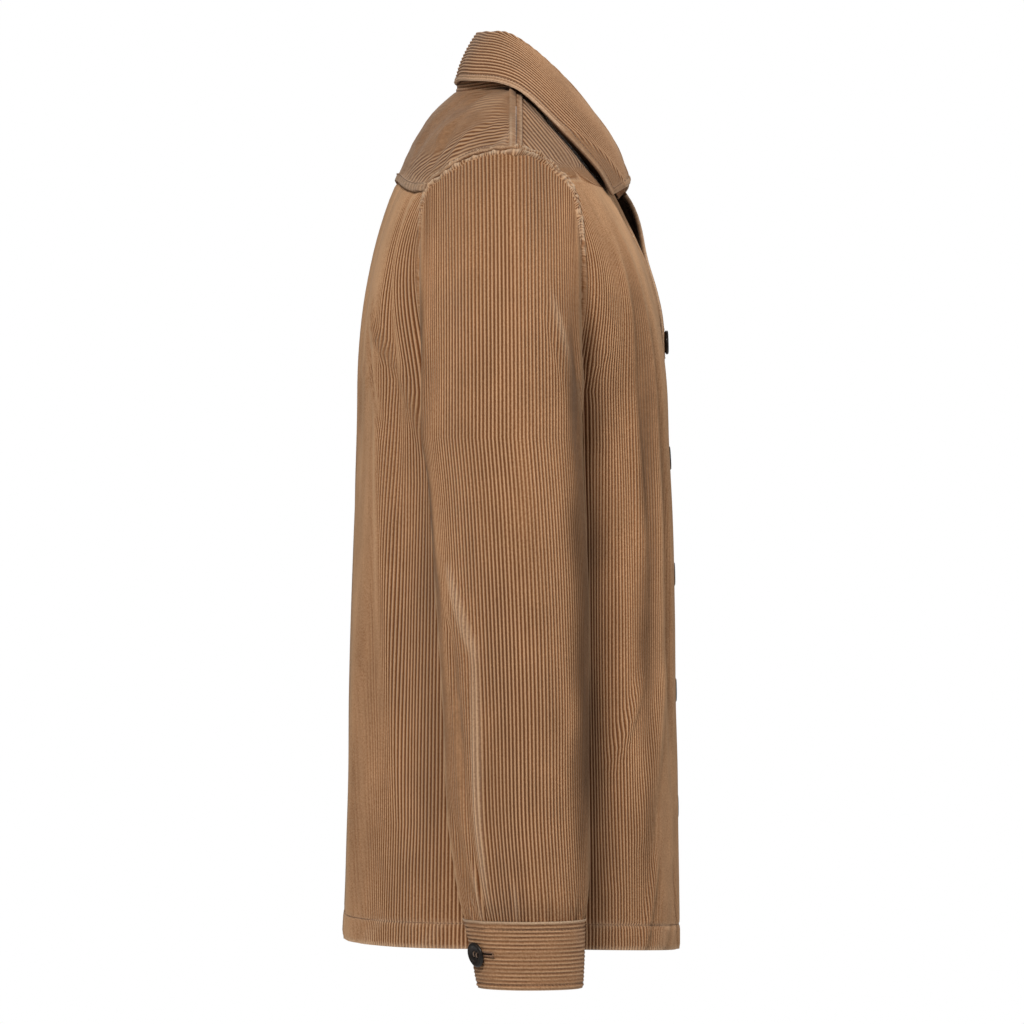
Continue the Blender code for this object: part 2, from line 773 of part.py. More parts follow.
def neck_inward(angle):
    """From the neckline towards the neck, along the body's surface."""
    side, x, z = neck_place(angle)
    share = column_at(x, z)
    point = body_point(side, share, z)
    normal = body_normal(side, share, z)
    ahead_side, ahead_x, ahead_z = neck_place(min(abs(angle) + 2.0, 180.0))
    ahead = Vector((ahead_x, body_y(ahead_side, ahead_x, ahead_z), ahead_z))
    direction = (ahead - point).cross(normal).normalized()
    if direction.dot(Vector((0.0, SIDE_Y, 0.06)) - point) < 0:
        direction = -direction
    return Vector((math.copysign(direction.x, -angle) if angle else 0.0, direction.y, direction.z))


def collar_line(angle):
    """Fold, leaf edge and neckline at an angle round the neck; below 0 is on the right."""
    values = read_table(COLLAR_SECTIONS, abs(angle))
    hand = math.copysign(1.0, angle)
    fold = Vector((hand * values[0], values[1], values[2]))
    edge = Vector((hand * values[3], values[4], values[5]))
    side, x, z = neck_place(angle)
    neck = Vector((hand * x, body_y(side, x, z), z))
    return fold, edge, neck


def collar_frame(angle):
    """Outward and upward directions of the stand at an angle."""
    step = 3.0
    ahead = collar_line(min(COLLAR_END, angle + step))[0]
    behind = collar_line(max(-COLLAR_END, angle - step))[0]
    fold, _, neck = collar_line(angle)
    tangent = (ahead - behind).normalized()
    up = fold - neck
    up = (up - tangent * up.dot(tangent)).normalized()
    outward = up.cross(tangent)
    if outward.dot(Vector((fold.x, fold.y + 0.03, 0.0))) < 0:
        outward = -outward
    return outward, up


def leaf_section(angle):
    """Outer and inner points of the leaf, from inside the neck over the fold to its edge."""
    fold, edge, _ = collar_line(angle)
    outward, up = collar_frame(angle)
    centre = fold - up * LEAF_ROLL
    outer = [centre - outward * LEAF_ROLL - up * 0.006]
    inner = [outer[0] + outward * LEAF_WALL * 0.5]
    for turn in (180.0, 125.0, 70.0, 15.0):
        direction = outward * math.cos(math.radians(turn)) + up * math.sin(math.radians(turn))
        outer.append(centre + direction * LEAF_ROLL)
        inner.append(centre + direction * (LEAF_ROLL - LEAF_WALL * 0.5))
    start = outer[-1]
    across = edge - start
    rise = mix(LEAF_BULGE_BACK, LEAF_BULGE, smooth(abs(angle) / 150.0))
    tangent = outward.cross(up)
    bulge = tangent.cross(across).normalized()
    if bulge.dot(outward) < 0:
        bulge = -bulge
    for share in LEAF_ROWS:
        lift = rise * 4 * share * (1 - share)
        wall = mix(LEAF_WALL * 0.5, LEAF_WALL, smooth(share * 4))
        outer.append(start + across * share + bulge * lift)
        inner.append(start + across * share + bulge * (lift - wall))
    return outer, inner


def make_collar():
    half = [NECK_STEP * k for k in range(10)] + [COLLAR_END]
    angles = [-angle for angle in half[:0:-1]] + half
    sections = [leaf_section(angle) for angle in angles]
    wall_piece("collar_leaf", [s[0] for s in sections], [s[1] for s in sections], "collar")
    outer, inner = [], []
    for angle in angles:
        fold, _, neck = collar_line(angle)
        outward, up = collar_frame(angle)
        top = fold - up * (LEAF_ROLL + 0.0002) + outward * (STAND_WALL * 0.5)
        inward = neck_inward(angle)
        foot = neck + inward * SEAM * 2
        middle = (top + foot) / 2 + outward * STAND_BULGE
        outer.append([foot, middle, top])
        foot_wall = -outward
        foot_wall -= inward * min(0.0, foot_wall.dot(inward))
        inner.append([foot + foot_wall.normalized() * STAND_WALL, middle - outward * STAND_WALL,
                      top - outward * STAND_WALL])
    wall_piece("collar_stand", outer, inner, "collar")


# ---- Buttons ----

def make_button(name, place, normal):
    """A turned button with a raised rim; its back lies just off the cloth at place."""
    rim, dish = BUTTON_RADIUS, BUTTON_RADIUS * 0.70
    profile = (
        (dish, BUTTON_THICKNESS * 0.70),
        (rim * 0.84, BUTTON_THICKNESS),
        (rim, BUTTON_THICKNESS * 0.60),
        (rim * 0.72, 0.0),
    )
    form = bmesh.new()
    rings = []
    for radius, height in profile:
        ring = bmesh.ops.create_circle(form, cap_ends=False, segments=BUTTON_SIDES, radius=radius)["verts"]
        bmesh.ops.translate(form, verts=ring, vec=(0.0, 0.0, height))
        rings.append(ring)
    for upper, lower in zip(rings, rings[1:]):
        for k in range(BUTTON_SIDES):
            d = (k + 1) % BUTTON_SIDES
            form.faces.new((upper[k], lower[k], lower[d], upper[d]))
    form.faces.new(rings[0])
    form.faces.new(rings[-1])
    bmesh.ops.recalc_face_normals(form, faces=form.faces)
    mesh = bpy.data.meshes.new(name)
    form.to_mesh(mesh)
    form.free()
    mesh.shade_smooth()
    mesh.set_sharp_from_angle(angle=math.radians(40))
    button = new_object(name, mesh, "button")
    button.rotation_mode = "QUATERNION"
    button.rotation_quaternion = normal.to_track_quat("Z", "Y")
    button.location = place + normal * BUTTON_CLEAR


def make_buttons():
    lift_at = front_lift(LEFT)
    for k in range(FRONT_BUTTONS):
        z = FIRST_BUTTON_Z - BUTTON_SPACING * k
        normal = body_normal(FRONT, 0.0, z)
        place = body_point(FRONT, 0.0, z) + normal * (lift_at(0.0, z) + PLACKET_LIFT)
        make_button(f"button_front_{k + 1}", place, normal)
    for hand, name in ((RIGHT, "button_cuff_right"), (LEFT, "button_cuff_left")):
        place = cuff_point(hand, CUFF_BUTTON_ANGLE, CUFF_BUTTON_Z)
        make_button(name, place, cuff_normal(hand, CUFF_BUTTON_ANGLE, CUFF_BUTTON_Z))


def main():
    clear_scene()
    bpy.context.scene.collection.children.link(bpy.data.collections.new(COLLECTION))
    make_back()
    make_yoke()
    make_fronts()
    make_bands()
    make_collar()
    make_sleeve("sleeve_right", RIGHT)
    make_sleeve("sleeve_left", LEFT)
    make_cuff("cuff_right", RIGHT)
    make_cuff("cuff_left", LEFT)
    make_buttons()


main()
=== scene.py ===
"""The looks of the corduroy jacket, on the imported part's frame.

Metres, +Z up; the wearer faces -Y and the wearer's right sleeve is at -X. Each cloth piece is a thin shell
on its solid's form. The cords (wales) of the corduroy are real ridges: a shell's columns follow them, six
to a wale, and end where the cut of the piece ends. A grid of points has its rows along the hem's way and its
columns up the cloth; share is a column's way round the body, 0 at the centre and 1 at the side seam.
"""
import json
import math

import bmesh
import bpy
import numpy as np
from mathutils import Matrix, Vector

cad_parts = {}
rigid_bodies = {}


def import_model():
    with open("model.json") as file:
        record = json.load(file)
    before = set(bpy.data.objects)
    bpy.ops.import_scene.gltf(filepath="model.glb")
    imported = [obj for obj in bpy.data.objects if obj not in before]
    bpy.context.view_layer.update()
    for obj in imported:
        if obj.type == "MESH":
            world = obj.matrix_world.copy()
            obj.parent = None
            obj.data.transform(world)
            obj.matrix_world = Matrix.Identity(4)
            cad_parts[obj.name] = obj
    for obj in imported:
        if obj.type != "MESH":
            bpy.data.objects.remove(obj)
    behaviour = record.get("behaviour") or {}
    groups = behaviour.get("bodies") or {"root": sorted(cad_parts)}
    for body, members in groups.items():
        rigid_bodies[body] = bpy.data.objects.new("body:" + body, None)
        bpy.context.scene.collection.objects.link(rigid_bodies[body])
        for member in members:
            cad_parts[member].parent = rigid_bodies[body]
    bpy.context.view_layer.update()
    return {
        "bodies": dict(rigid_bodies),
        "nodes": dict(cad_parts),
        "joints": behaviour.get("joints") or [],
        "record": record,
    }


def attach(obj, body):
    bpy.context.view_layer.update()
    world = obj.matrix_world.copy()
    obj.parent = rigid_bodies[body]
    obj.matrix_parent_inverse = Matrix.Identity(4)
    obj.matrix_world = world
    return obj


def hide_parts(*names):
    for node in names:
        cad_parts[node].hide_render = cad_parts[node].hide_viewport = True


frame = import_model()

# ---- Sizes shared with the part ----

WALL = 0.0018
DOUBLED_WALL = 0.0024
SEAM = 0.0003
BACK, FRONT = 1, -1
RIGHT, LEFT = -1, 1
QUARTER = 0.275
SIDE_Y = -0.0033
SHOULDER_PEAK = 0.025
SHOULDER_SLOPE = 0.3825
SHOULDER_ROUND = 0.030
CHEST_Z = -0.25
SHOULDER_Z = -0.05
COLUMN_EASE = 0.967
HEM_Z = -0.688
HEM_RISE = 0.008
HEM_DEPTH = 0.020
HEM_TILT = {BACK: 0.0056, FRONT: -0.0040}
YOKE_Z = -0.067
BODY_SECTIONS = (
    # z, half_width, back, front
    (0.050, 0.245, 0.127, 0.1255),
    (-0.050, 0.245, 0.127, 0.1255),
    (-0.250, 0.200, 0.1285, 0.1243),
    (-0.330, 0.202, 0.1315, 0.1278),
    (-0.410, 0.205, 0.1345, 0.1299),
    (-0.490, 0.208, 0.1365, 0.1308),
    (-0.570, 0.212, 0.1375, 0.1321),
    (-0.690, 0.216, 0.1415, 0.1338),
)
CHEST_POWER = 2.6
SHOULDER_POWER = 3.4
# How each side rounds over the shoulder: the drop to full depth, how that shrinks outwards, the power.
ROUNDING = {BACK: (0.255, 1.5, 0.5), FRONT: (0.280, 1.5, 0.8)}
ARMHOLE_Y = 0.009
ARMHOLE_HALF = 0.063
ARMHOLE_HEIGHTS = (
    # angle, z
    (0.0, -0.143),
    (22.5, -0.084),
    (45.0, -0.0700),
    (67.5, -0.0585),
    (90.0, -0.0540),
    (112.5, -0.0555),
    (135.0, -0.0680),
    (157.5, -0.0900),
    (180.0, -0.148),
    (202.5, -0.195),
    (225.0, -0.220),
    (247.5, -0.2435),
    (270.0, -0.2435),
    (292.5, -0.2375),
    (315.0, -0.2220),
    (337.5, -0.1900),
    (360.0, -0.143),
)
YOKE_ANGLE = 22.5
TOP_ANGLE = 101.25
UNDERARM_ANGLE = 258.75
NECK_X = 0.075
NECK_BACK = 0.050
NECK_FRONT = 0.085
BAND_EDGE = 0.018
OPEN_TOP_Z = -0.075
OPEN_END_Z = -0.195
OPEN_SHIFT = 0.0261
LEFT_LAP = 0.0024
LAP_REACH = 0.045
LAP_END_Z = -0.076
LAP_FADE = 0.055
FLARE_Z = -0.088
FLARE_HALF = 0.050
LEFT_FLARE = 0.0088
RIGHT_FLARE = -0.0025
PLACKET_LIFT = 0.0006
PLACKET_DIP = 0.0062
PLACKET_FLAT = 0.013
PLACKET_DIP_HALF = 0.060
PLACKET_DIP_Z = -0.165
PLACKET_DIP_FADE = 0.080
SLEEVE_SECTIONS = (
    # z, back, front, inner, outer
    (-0.280, 0.069, -0.0545, 0.2090, 0.3360),
    (-0.330, 0.063, -0.0560, 0.2110, 0.3370),
    (-0.410, 0.058, -0.0590, 0.2130, 0.3350),
    (-0.490, 0.053, -0.0590, 0.2150, 0.3310),
    (-0.570, 0.050, -0.0590, 0.2180, 0.3270),
    (-0.610, 0.045, -0.0590, 0.2200, 0.3240),
    (-0.638, 0.040, -0.0580, 0.2230, 0.3190),
    (-0.652, 0.0365, -0.0560, 0.2270, 0.3100),
)
SLEEVE_POWER = 2.15
SLEEVE_SCALE = math.radians(1) * 0.062
CUFF_SECTIONS = (
    # z, back, front, inner, outer
    (-0.6523, 0.0375, -0.0570, 0.2260, 0.3110),
    (-0.6790, 0.0320, -0.0565, 0.2280, 0.3060),
    (-0.7060, 0.0270, -0.0555, 0.2300, 0.3010),
)
CUFF_START = -12.0
CUFF_LAP = 55.0
CUFF_STEP_IN = 0.0034
COLLAR_SECTIONS = (
    # angle, fold_x, fold_y, fold_z, edge_x, edge_y, edge_z
    (0.0, 0.000, 0.0260, 0.0560, 0.000, 0.0470, 0.0135),
    (45.0, 0.045, 0.0165, 0.0530, 0.066, 0.0370, 0.0125),
    (90.0, 0.064, -0.0030, 0.0475, 0.102, -0.0030, 0.0030),
    (120.0, 0.057, -0.0390, 0.0190, 0.114, -0.0390, -0.0290),
    (150.0, 0.036, -0.0775, -0.0270, 0.109, -0.0690, -0.0600),
    (171.0, 0.013, -0.0975, -0.0650, 0.097, -0.0820, -0.0815),
)
COLLAR_END = 171.0
LEAF_WALL = 0.0024
LEAF_ROLL = 0.0032
LEAF_BULGE = 0.0056
LEAF_BULGE_BACK = 0.0030
STAND_WALL = 0.0020
STAND_BULGE = 0.0020
BUTTON_RADIUS = 0.0100
BUTTON_THICKNESS = 0.0034
BUTTON_CLEAR = 0.0004
FRONT_BUTTONS = 5
FIRST_BUTTON_Z = -0.198
BUTTON_SPACING = 0.095
CUFF_BUTTON_ANGLE = 31.5
CUFF_BUTTON_Z = -0.6785

# ---- Sizes of the looks ----

# The corduroy: a wale's width and height, the share of its height that lies in the cloth, a cuff's wale, and
# a wale's outline across, in shares of its width and height.
WALE = 0.0030
WALE_HEIGHT = 0.00085
WALE_LEVEL = 0.55
CUFF_WALE = 0.00312
WALE_OUTLINE = (
    # place, height
    (0.00, 0.00),
    (0.17, 0.30),
    (0.34, 0.80),
    (0.50, 1.00),
    (0.66, 0.80),
    (0.83, 0.30),
    (1.00, 0.00),
)
# The least distance of a wale's column from one that is kept for a seam, as a share of a wale.
COLUMN_GAP = 0.04
# A body panel's grids meet at SPLIT_Z, and ROW is their rows' usual spacing. Rows lie closer together at the
# hem, the shoulder seam and the yoke's top: each table gives metres from that edge. The counts are of a
# yoke's rows below its armhole's innermost point, of rows over the shoulder and beside a front's armhole, and
# of rows up a band.
ROW = 0.0110
SPLIT_Z = -0.190
HEM_ROWS = (0.0, 0.0012, 0.004, 0.008, 0.012, 0.016, 0.0185, HEM_DEPTH, 0.0215, 0.0245)
SHOULDER_ROWS = (0.0140, 0.0095, 0.0068, 0.0050, 0.0038, 0.0030, 0.0025, 0.0021, 0.0017, 0.0012, 0.0006, 0.0)
YOKE_TOP_ROWS = (0.0115, 0.0070, 0.0042, 0.0024, 0.0014, 0.0008, 0.0005, 0.00034, 0.00025, 0.00018, 0.00012,
                 0.00006, 0.0)
YOKE_LOW_ROWS = 9
TOP_ROWS = 9
ARMHOLE_ROWS = 14
BAND_ROWS = 96
# Height of the faint creases everywhere; how far the fronts sink under the collar's leaf, and how dark the
# shadow painted there is.
CREASE = 0.0011
COLLAR_DIP = 0.0062
COLLAR_SHADE = 1.25
# Topstitching: how far it lies from the edge of each thing, the pitch and the lift of its stitches, and one
# stitch's points and faces, along, across and out.
ARMHOLE_STITCH = 0.0060
BAND_STITCH = 0.0050
YOKE_STITCH = 0.0058
SHOULDER_STITCH = 0.0019
LEAF_STITCH = 0.0052
CUFF_TOP_STITCH = 0.0065
CUFF_LOW_STITCH = 0.0042
CUFF_END_TURN = 6.6
STITCH_PITCH = 0.0031
STITCH_LIFT = 0.0001
STITCH = np.array([(-1, 0, 0), (-0.72, 0.7, 0.75), (-0.72, -0.7, 0.75), (0.72, 0.7, 0.75), (0.72, -0.7, 0.75),
                   (1, 0, 0), (0, 0.8, 1.25), (0, -0.8, 1.25)])
STITCH_FACES = ((0, 2, 1), (1, 2, 7, 6), (6, 7, 4, 3), (3, 4, 5), (0, 1, 6, 3, 5), (2, 0, 5, 4, 7))
# A buttonhole: its length, half the slit's width, the rails' distance from its middle, the thread's radius.
SLOT_LENGTH = 0.023
SLOT_HALF = 0.0007
SLOT_RAIL = 0.0015
SLOT_THREAD = 0.00034
# How far a cuff's buttonhole lies from its button, round the cuff and up, and how low a front's lies.
SLOT_TURN = 8.5
SLOT_RISE = 0.0006
SLOT_DROP = 0.0010
# A button's outline, from the middle of its top to the middle of its back, and its four holes.
BUTTON_PROFILE = (
    # share of the radius, share of the thickness
    (0.0, 0.60),
    (0.30, 0.60),
    (0.50, 0.62),
    (0.60, 0.72),
    (0.66, 0.90),
    (0.74, 0.985),
    (0.82, 1.0),
    (0.90, 0.97),
    (0.96, 0.84),
    (1.0, 0.62),
    (0.985, 0.42),
    (0.88, 0.18),
    (0.70, 0.04),
    (0.45, 0.0),
    (0.0, 0.0),
)
HOLE_INSET = 0.0019
HOLE_RADIUS = 0.00105
# The smooth facet beside a collar's point: the angle where it starts, and its width at the collar's end.
FACET_START = 116.0
FACET_WIDTH = 0.034
# On the shoulders the cords follow a line seen from the side; it gives y at heights, and their spacing there.
SHOULDER_LINE = (
    # z, y
    (-0.200, -0.0655),
    (-0.1366, -0.0644),
    (-0.1008, -0.0620),
    (-0.0769, -0.0565),
    (-0.0507, -0.0406),
    (-0.0252, -0.0207),
    (-0.0093, -0.0087),
    (0.0500, 0.0360),
)
SHOULDER_WALE = 0.0027
# Wales counted in before each kind of piece, so that the cords of no two of them vary alike.
PANEL_WALES = 211.0
SLEEVE_WALES = 307.0
CUFF_WALES = 401.0
LEAF_WALES = 503.0
STAND_WALES = 601.0
# Heights between which a front's upright cords turn into those; then the yoke's cords and its soft swelling.
TURN_Z = (-0.076, -0.058)
YOKE_WALE = 0.0025
YOKE_LIFT = 0.0026
BAND_WIDTH = 0.0324
CAP_END = SLEEVE_SECTIONS[0][0]
# A sleeve's rows lie closer together below ELBOW_END, and its fine gathers start at GATHER_Z. From TUCK_Z its
# folds are held within limits, so that its end, TUCK_DEPTH inside the cuff, leaves no gap there.
ELBOW_END = -0.585
GATHER_Z = -0.622
TUCK_Z = -0.638
TUCK_LIMITS = (-0.0013, 0.0005)
TUCK_DEPTH = 0.0028
# How much of a sleeve's narrowing its cords follow, behind the outer side and before it.
SLEEVE_LEAN = (0.60, 0.20)
# Across an armhole's seam: metres from it, below 0 on the body, and the height there; then wear.
WELT_SECTION = (
    # place, height
    (-0.0067, -0.0014),
    (-0.0056, 0.0003),
    (-0.0048, 0.0011),
    (-0.0039, 0.0017),
    (-0.0028, 0.0016),
    (-0.0017, 0.0010),
    (-0.0008, -0.0001),
    (0.0002, -0.0004),
    (0.0009, 0.0008),
    (0.0019, 0.0016),
    (0.0030, 0.0015),
    (0.0041, 0.0006),
    (0.0053, -0.0012),
)
WELT_WEAR = (0.1, 0.5, 1.0, 1.0, 0.8, 0.3, 0.0, 0.0, 0.4, 0.9, 0.8, 0.3, 0.0)

# Folds of the body: side, then where each starts and ends as a share of the way from the centre line
# to the side seam and a height, half its width, and how far it stands out.
BODY_FOLDS = (
    # side, share_1, z_1, share_2, z_2, half_width, height
    (BACK, -0.50, -0.170, -0.66, -0.560, 0.028, 0.0062),
    (BACK, -0.66, -0.090, -0.70, -0.300, 0.014, 0.0044),
    (BACK, -0.56, -0.085, -0.60, -0.240, 0.013, -0.0034),
    (BACK, 0.52, -0.160, 0.64, -0.500, 0.028, 0.0056),
    (BACK, 0.67, -0.090, 0.71, -0.290, 0.014, 0.0042),
    (BACK, -0.30, -0.400, -0.34, -0.680, 0.030, 0.0025),
    (BACK, 0.22, -0.380, 0.26, -0.680, 0.030, 0.0028),
    (FRONT, -0.50, -0.120, -0.46, -0.480, 0.022, 0.0050),
    (FRONT, -0.74, -0.300, -0.72, -0.620, 0.024, -0.0055),
    (FRONT, -0.42, -0.460, -0.60, -0.600, 0.020, 0.0030),
    (FRONT, 0.48, -0.130, 0.46, -0.460, 0.024, 0.0048),
    (FRONT, 0.72, -0.320, 0.74, -0.620, 0.024, -0.0052),
    (FRONT, 0.40, -0.500, 0.56, -0.640, 0.020, 0.0028),
)
# Finer folds of the body, and zones of smoothed pile that hides the cords, with a painted sheen.
BODY_WRINKLES = (
    # side, share_1, z_1, share_2, z_2, half_width, height
    (BACK, -0.735, -0.100, -0.745, -0.300, 0.009, -0.0030),
    (BACK, -0.640, -0.085, -0.660, -0.330, 0.011, 0.0030),
    (BACK, -0.400, -0.165, -0.650, -0.235, 0.009, 0.0034),
    (BACK, -0.640, -0.222, -0.760, -0.305, 0.010, 0.0036),
    (BACK, -0.750, -0.285, -0.780, -0.400, 0.011, 0.0032),
    (BACK, -0.340, -0.190, -0.560, -0.270, 0.010, -0.0026),
    (BACK, -0.200, -0.215, -0.480, -0.245, 0.007, 0.0014),
    (BACK, -0.640, -0.360, -0.700, -0.600, 0.014, -0.0024),
    (BACK, 0.735, -0.100, 0.745, -0.300, 0.009, -0.0028),
    (BACK, 0.630, -0.085, 0.650, -0.300, 0.011, 0.0026),
    (BACK, 0.300, -0.150, 0.540, -0.320, 0.013, 0.0034),
    (BACK, 0.060, -0.100, 0.020, -0.420, 0.016, -0.0018),
    (BACK, -0.740, -0.066, -0.600, -0.032, 0.007, 0.0022),
    (BACK, -0.640, -0.068, -0.450, -0.030, 0.008, -0.0020),
    (BACK, -0.520, -0.050, -0.330, -0.012, 0.009, 0.0020),
    (BACK, -0.420, -0.030, -0.300, -0.002, 0.007, -0.0014),
    (BACK, -0.300, -0.062, -0.160, -0.030, 0.010, 0.0016),
    (BACK, 0.720, -0.066, 0.580, -0.030, 0.008, 0.0020),
    (BACK, 0.560, -0.060, 0.380, -0.020, 0.009, -0.0018),
    (BACK, 0.380, -0.050, 0.240, -0.016, 0.009, 0.0016),
    (FRONT, -0.620, -0.130, -0.560, -0.420, 0.014, 0.0034),
    (FRONT, -0.810, -0.130, -0.790, -0.330, 0.010, -0.0028),
    (FRONT, -0.400, -0.140, -0.330, -0.560, 0.017, -0.0024),
    (FRONT, -0.570, -0.465, -0.720, -0.540, 0.010, 0.0032),
    (FRONT, -0.510, -0.610, -0.610, -0.690, 0.010, 0.0030),
    (FRONT, -0.830, -0.240, -0.700, -0.205, 0.006, 0.0020),
    (FRONT, -0.830, -0.256, -0.720, -0.232, 0.006, -0.0018),
    (FRONT, -0.340, -0.620, -0.240, -0.700, 0.010, -0.0022),
    (FRONT, 0.640, -0.130, 0.580, -0.400, 0.014, 0.0032),
    (FRONT, 0.400, -0.150, 0.340, -0.520, 0.017, -0.0022),
    (FRONT, 0.220, -0.500, 0.360, -0.660, 0.012, 0.0026),
)
BODY_NAP_AND_SHEEN = (
    # side, share_1, z_1, share_2, z_2, half_width, strength
    (BACK, -0.10, -0.100, -0.16, -0.640, 0.030, 0.25),
    (BACK, -0.400, -0.165, -0.650, -0.235, 0.010, 0.95),
    (BACK, -0.640, -0.222, -0.760, -0.305, 0.010, 0.85),
    (BACK, -0.750, -0.285, -0.780, -0.400, 0.010, 0.70),
    (BACK, 0.12, -0.120, 0.18, -0.600, 0.030, 0.30),
    (BACK, 0.330, -0.160, 0.560, -0.320, 0.014, 0.70),
    (FRONT, -0.50, -0.090, -0.56, -0.500, 0.022, 0.85),
    (FRONT, -0.30, -0.560, -0.26, -0.680, 0.018, 0.45),
    (FRONT, 0.46, -0.080, 0.42, -0.540, 0.024, 0.75),
)
# A sleeve's zones of smoothed pile with a painted sheen, by its angle.
SLEEVE_NAP_AND_SHEEN = (
    # angle_1, z_1, angle_2, z_2, half_width, strength
    (150.0, -0.150, 166.0, -0.420, 0.014, 0.90),
    (166.0, -0.380, 158.0, -0.640, 0.012, 0.50),
    (6.0, -0.180, 18.0, -0.560, 0.016, 0.75),
    (38.0, -0.420, 30.0, -0.600, 0.013, 0.85),
    (20.0, -0.590, 40.0, -0.640, 0.010, 0.60),
)
# Zones of painted shade, darkened towards the colour of the cloth's back, beside the sleeve and inside its
# folds.
BODY_PAINTED_SHADE = (
    # side, share_1, z_1, share_2, z_2, half_width, strength
    (FRONT, -0.795, -0.200, -0.790, -0.660, 0.026, 0.56),
    (FRONT, -0.880, -0.200, -0.880, -0.660, 0.030, 0.56),
    (BACK, -0.740, -0.090, -0.800, -0.680, 0.030, 0.26),
    (BACK, 0.000, -0.060, 0.000, -0.740, 0.240, 0.34),
    (FRONT, -0.540, -0.120, -0.550, -0.640, 0.020, 0.60),
    (FRONT, -0.600, -0.560, -0.600, -0.740, 0.120, 0.26),
    (FRONT, 0.800, -0.200, 0.800, -0.640, 0.028, 0.46),
    (BACK, 0.780, -0.110, 0.800, -0.620, 0.020, 0.22),
)
SLEEVE_PAINTED_SHADE = (
    # angle_1, z_1, angle_2, z_2, half_width, strength
    (162.0, -0.160, 164.0, -0.660, 0.040, 0.95),
    (150.0, -0.420, 152.0, -0.600, 0.018, 0.16),
    (4.0, -0.130, 4.0, -0.420, 0.024, 0.80),
    (8.0, -0.410, 20.0, -0.600, 0.016, 0.34),
    (44.0, -0.460, 48.0, -0.600, 0.007, 0.26),
)
# Folds of a sleeve, by its angle; FOLD_STRENGTH says how strong they are on each hand.
SLEEVE_FOLDS = (
    # angle_1, z_1, angle_2, z_2, half_width, height
    (28.0, -0.395, 50.0, -0.445, 0.014, 0.0030),
    (50.0, -0.445, 62.0, -0.640, 0.014, 0.0036),
    (20.0, -0.560, 40.0, -0.645, 0.010, -0.0030),
    (86.0, -0.600, 90.0, -0.652, 0.008, -0.0030),
    (150.0, -0.180, 172.0, -0.260, 0.012, -0.0030),
    (20.0, -0.190, 8.0, -0.300, 0.014, 0.0030),
    (330.0, -0.400, 300.0, -0.450, 0.016, 0.0030),
    (215.0, -0.600, 222.0, -0.652, 0.009, -0.0030),
)
# Finer wrinkles of a sleeve: the tucks at the cuff, and small creases at the armpit and elbow.
SLEEVE_WRINKLES = (
    # angle_1, z_1, angle_2, z_2, half_width, height
    (36.0, -0.380, 60.0, -0.447, 0.0080, 0.0040),
    (60.0, -0.440, 57.0, -0.640, 0.0070, 0.0034),
    (30.0, -0.400, 47.0, -0.610, 0.0090, -0.0034),
    (50.0, -0.610, 52.0, -0.660, 0.0030, -0.0030),
    (45.0, -0.600, 47.0, -0.660, 0.0036, 0.0024),
    (32.0, -0.634, 46.0, -0.650, 0.0028, 0.0020),
    (30.0, -0.645, 44.0, -0.643, 0.0026, -0.0018),
    (24.0, -0.640, 34.0, -0.655, 0.0030, 0.0016),
    (79.0, -0.626, 80.0, -0.660, 0.0030, -0.0024),
    (84.0, -0.622, 84.0, -0.660, 0.0034, 0.0016),
    (104.0, -0.630, 103.0, -0.660, 0.0034, -0.0014),
    (127.0, -0.168, 150.0, -0.230, 0.0060, 0.0022),
    (120.0, -0.180, 143.0, -0.245, 0.0060, -0.0018),
    (222.0, -0.622, 224.0, -0.656, 0.0045, -0.0020),
    (140.0, -0.634, 138.0, -0.656, 0.0040, -0.0012),
    (300.0, -0.630, 302.0, -0.656, 0.0045, -0.0014),
    (176.0, -0.215, 190.0, -0.260, 0.0050, 0.0016),
    (170.0, -0.235, 186.0, -0.275, 0.0050, -0.0014),
    (22.0, -0.420, 44.0, -0.436, 0.0060, -0.0014),
    (340.0, -0.300, 356.0, -0.330, 0.0070, 0.0014),
)
FOLD_STRENGTH = {RIGHT: 0.78, LEFT: 0.85}

# Colours, linear: valleys, middle and top of the cords, worn edges and painted highlights; then the greyish
# painted sheen.
# The valleys are painted in shade and the tops painted lit, over the cords' real relief.
CORDUROY_TONES = ((0.175, 0.064, 0.022), (0.335, 0.155, 0.066), (0.590, 0.350, 0.193), (0.760, 0.550, 0.370))
# The collar's tones are a lighter copy of these: painted light.
COLLAR_LIT_TONES = ((0.205, 0.084, 0.034), (0.420, 0.210, 0.100), (0.710, 0.430, 0.250), (0.780, 0.560, 0.380))
PAINTED_SHEEN_COLOUR = (0.345, 0.186, 0.094)
BUTTON_TONES = (
    # place on the marbling, colour
    (0.35, (0.007, 0.005, 0.004)),
    (0.62, (0.020, 0.013, 0.009)),
    (0.78, (0.038, 0.024, 0.016)),
)
THREAD_TONES = ((0.13, 0.060, 0.028), (0.36, 0.19, 0.10))
BUTTON_THREAD_TONES = ((0.10, 0.055, 0.032), (0.24, 0.15, 0.095))
# How plain the cords are on each side of the body; then the sheen, and the light from all round.
CONTRAST = {BACK: 1.5, FRONT: 1.32}
SHEEN = 0.16
FILL = 0.18
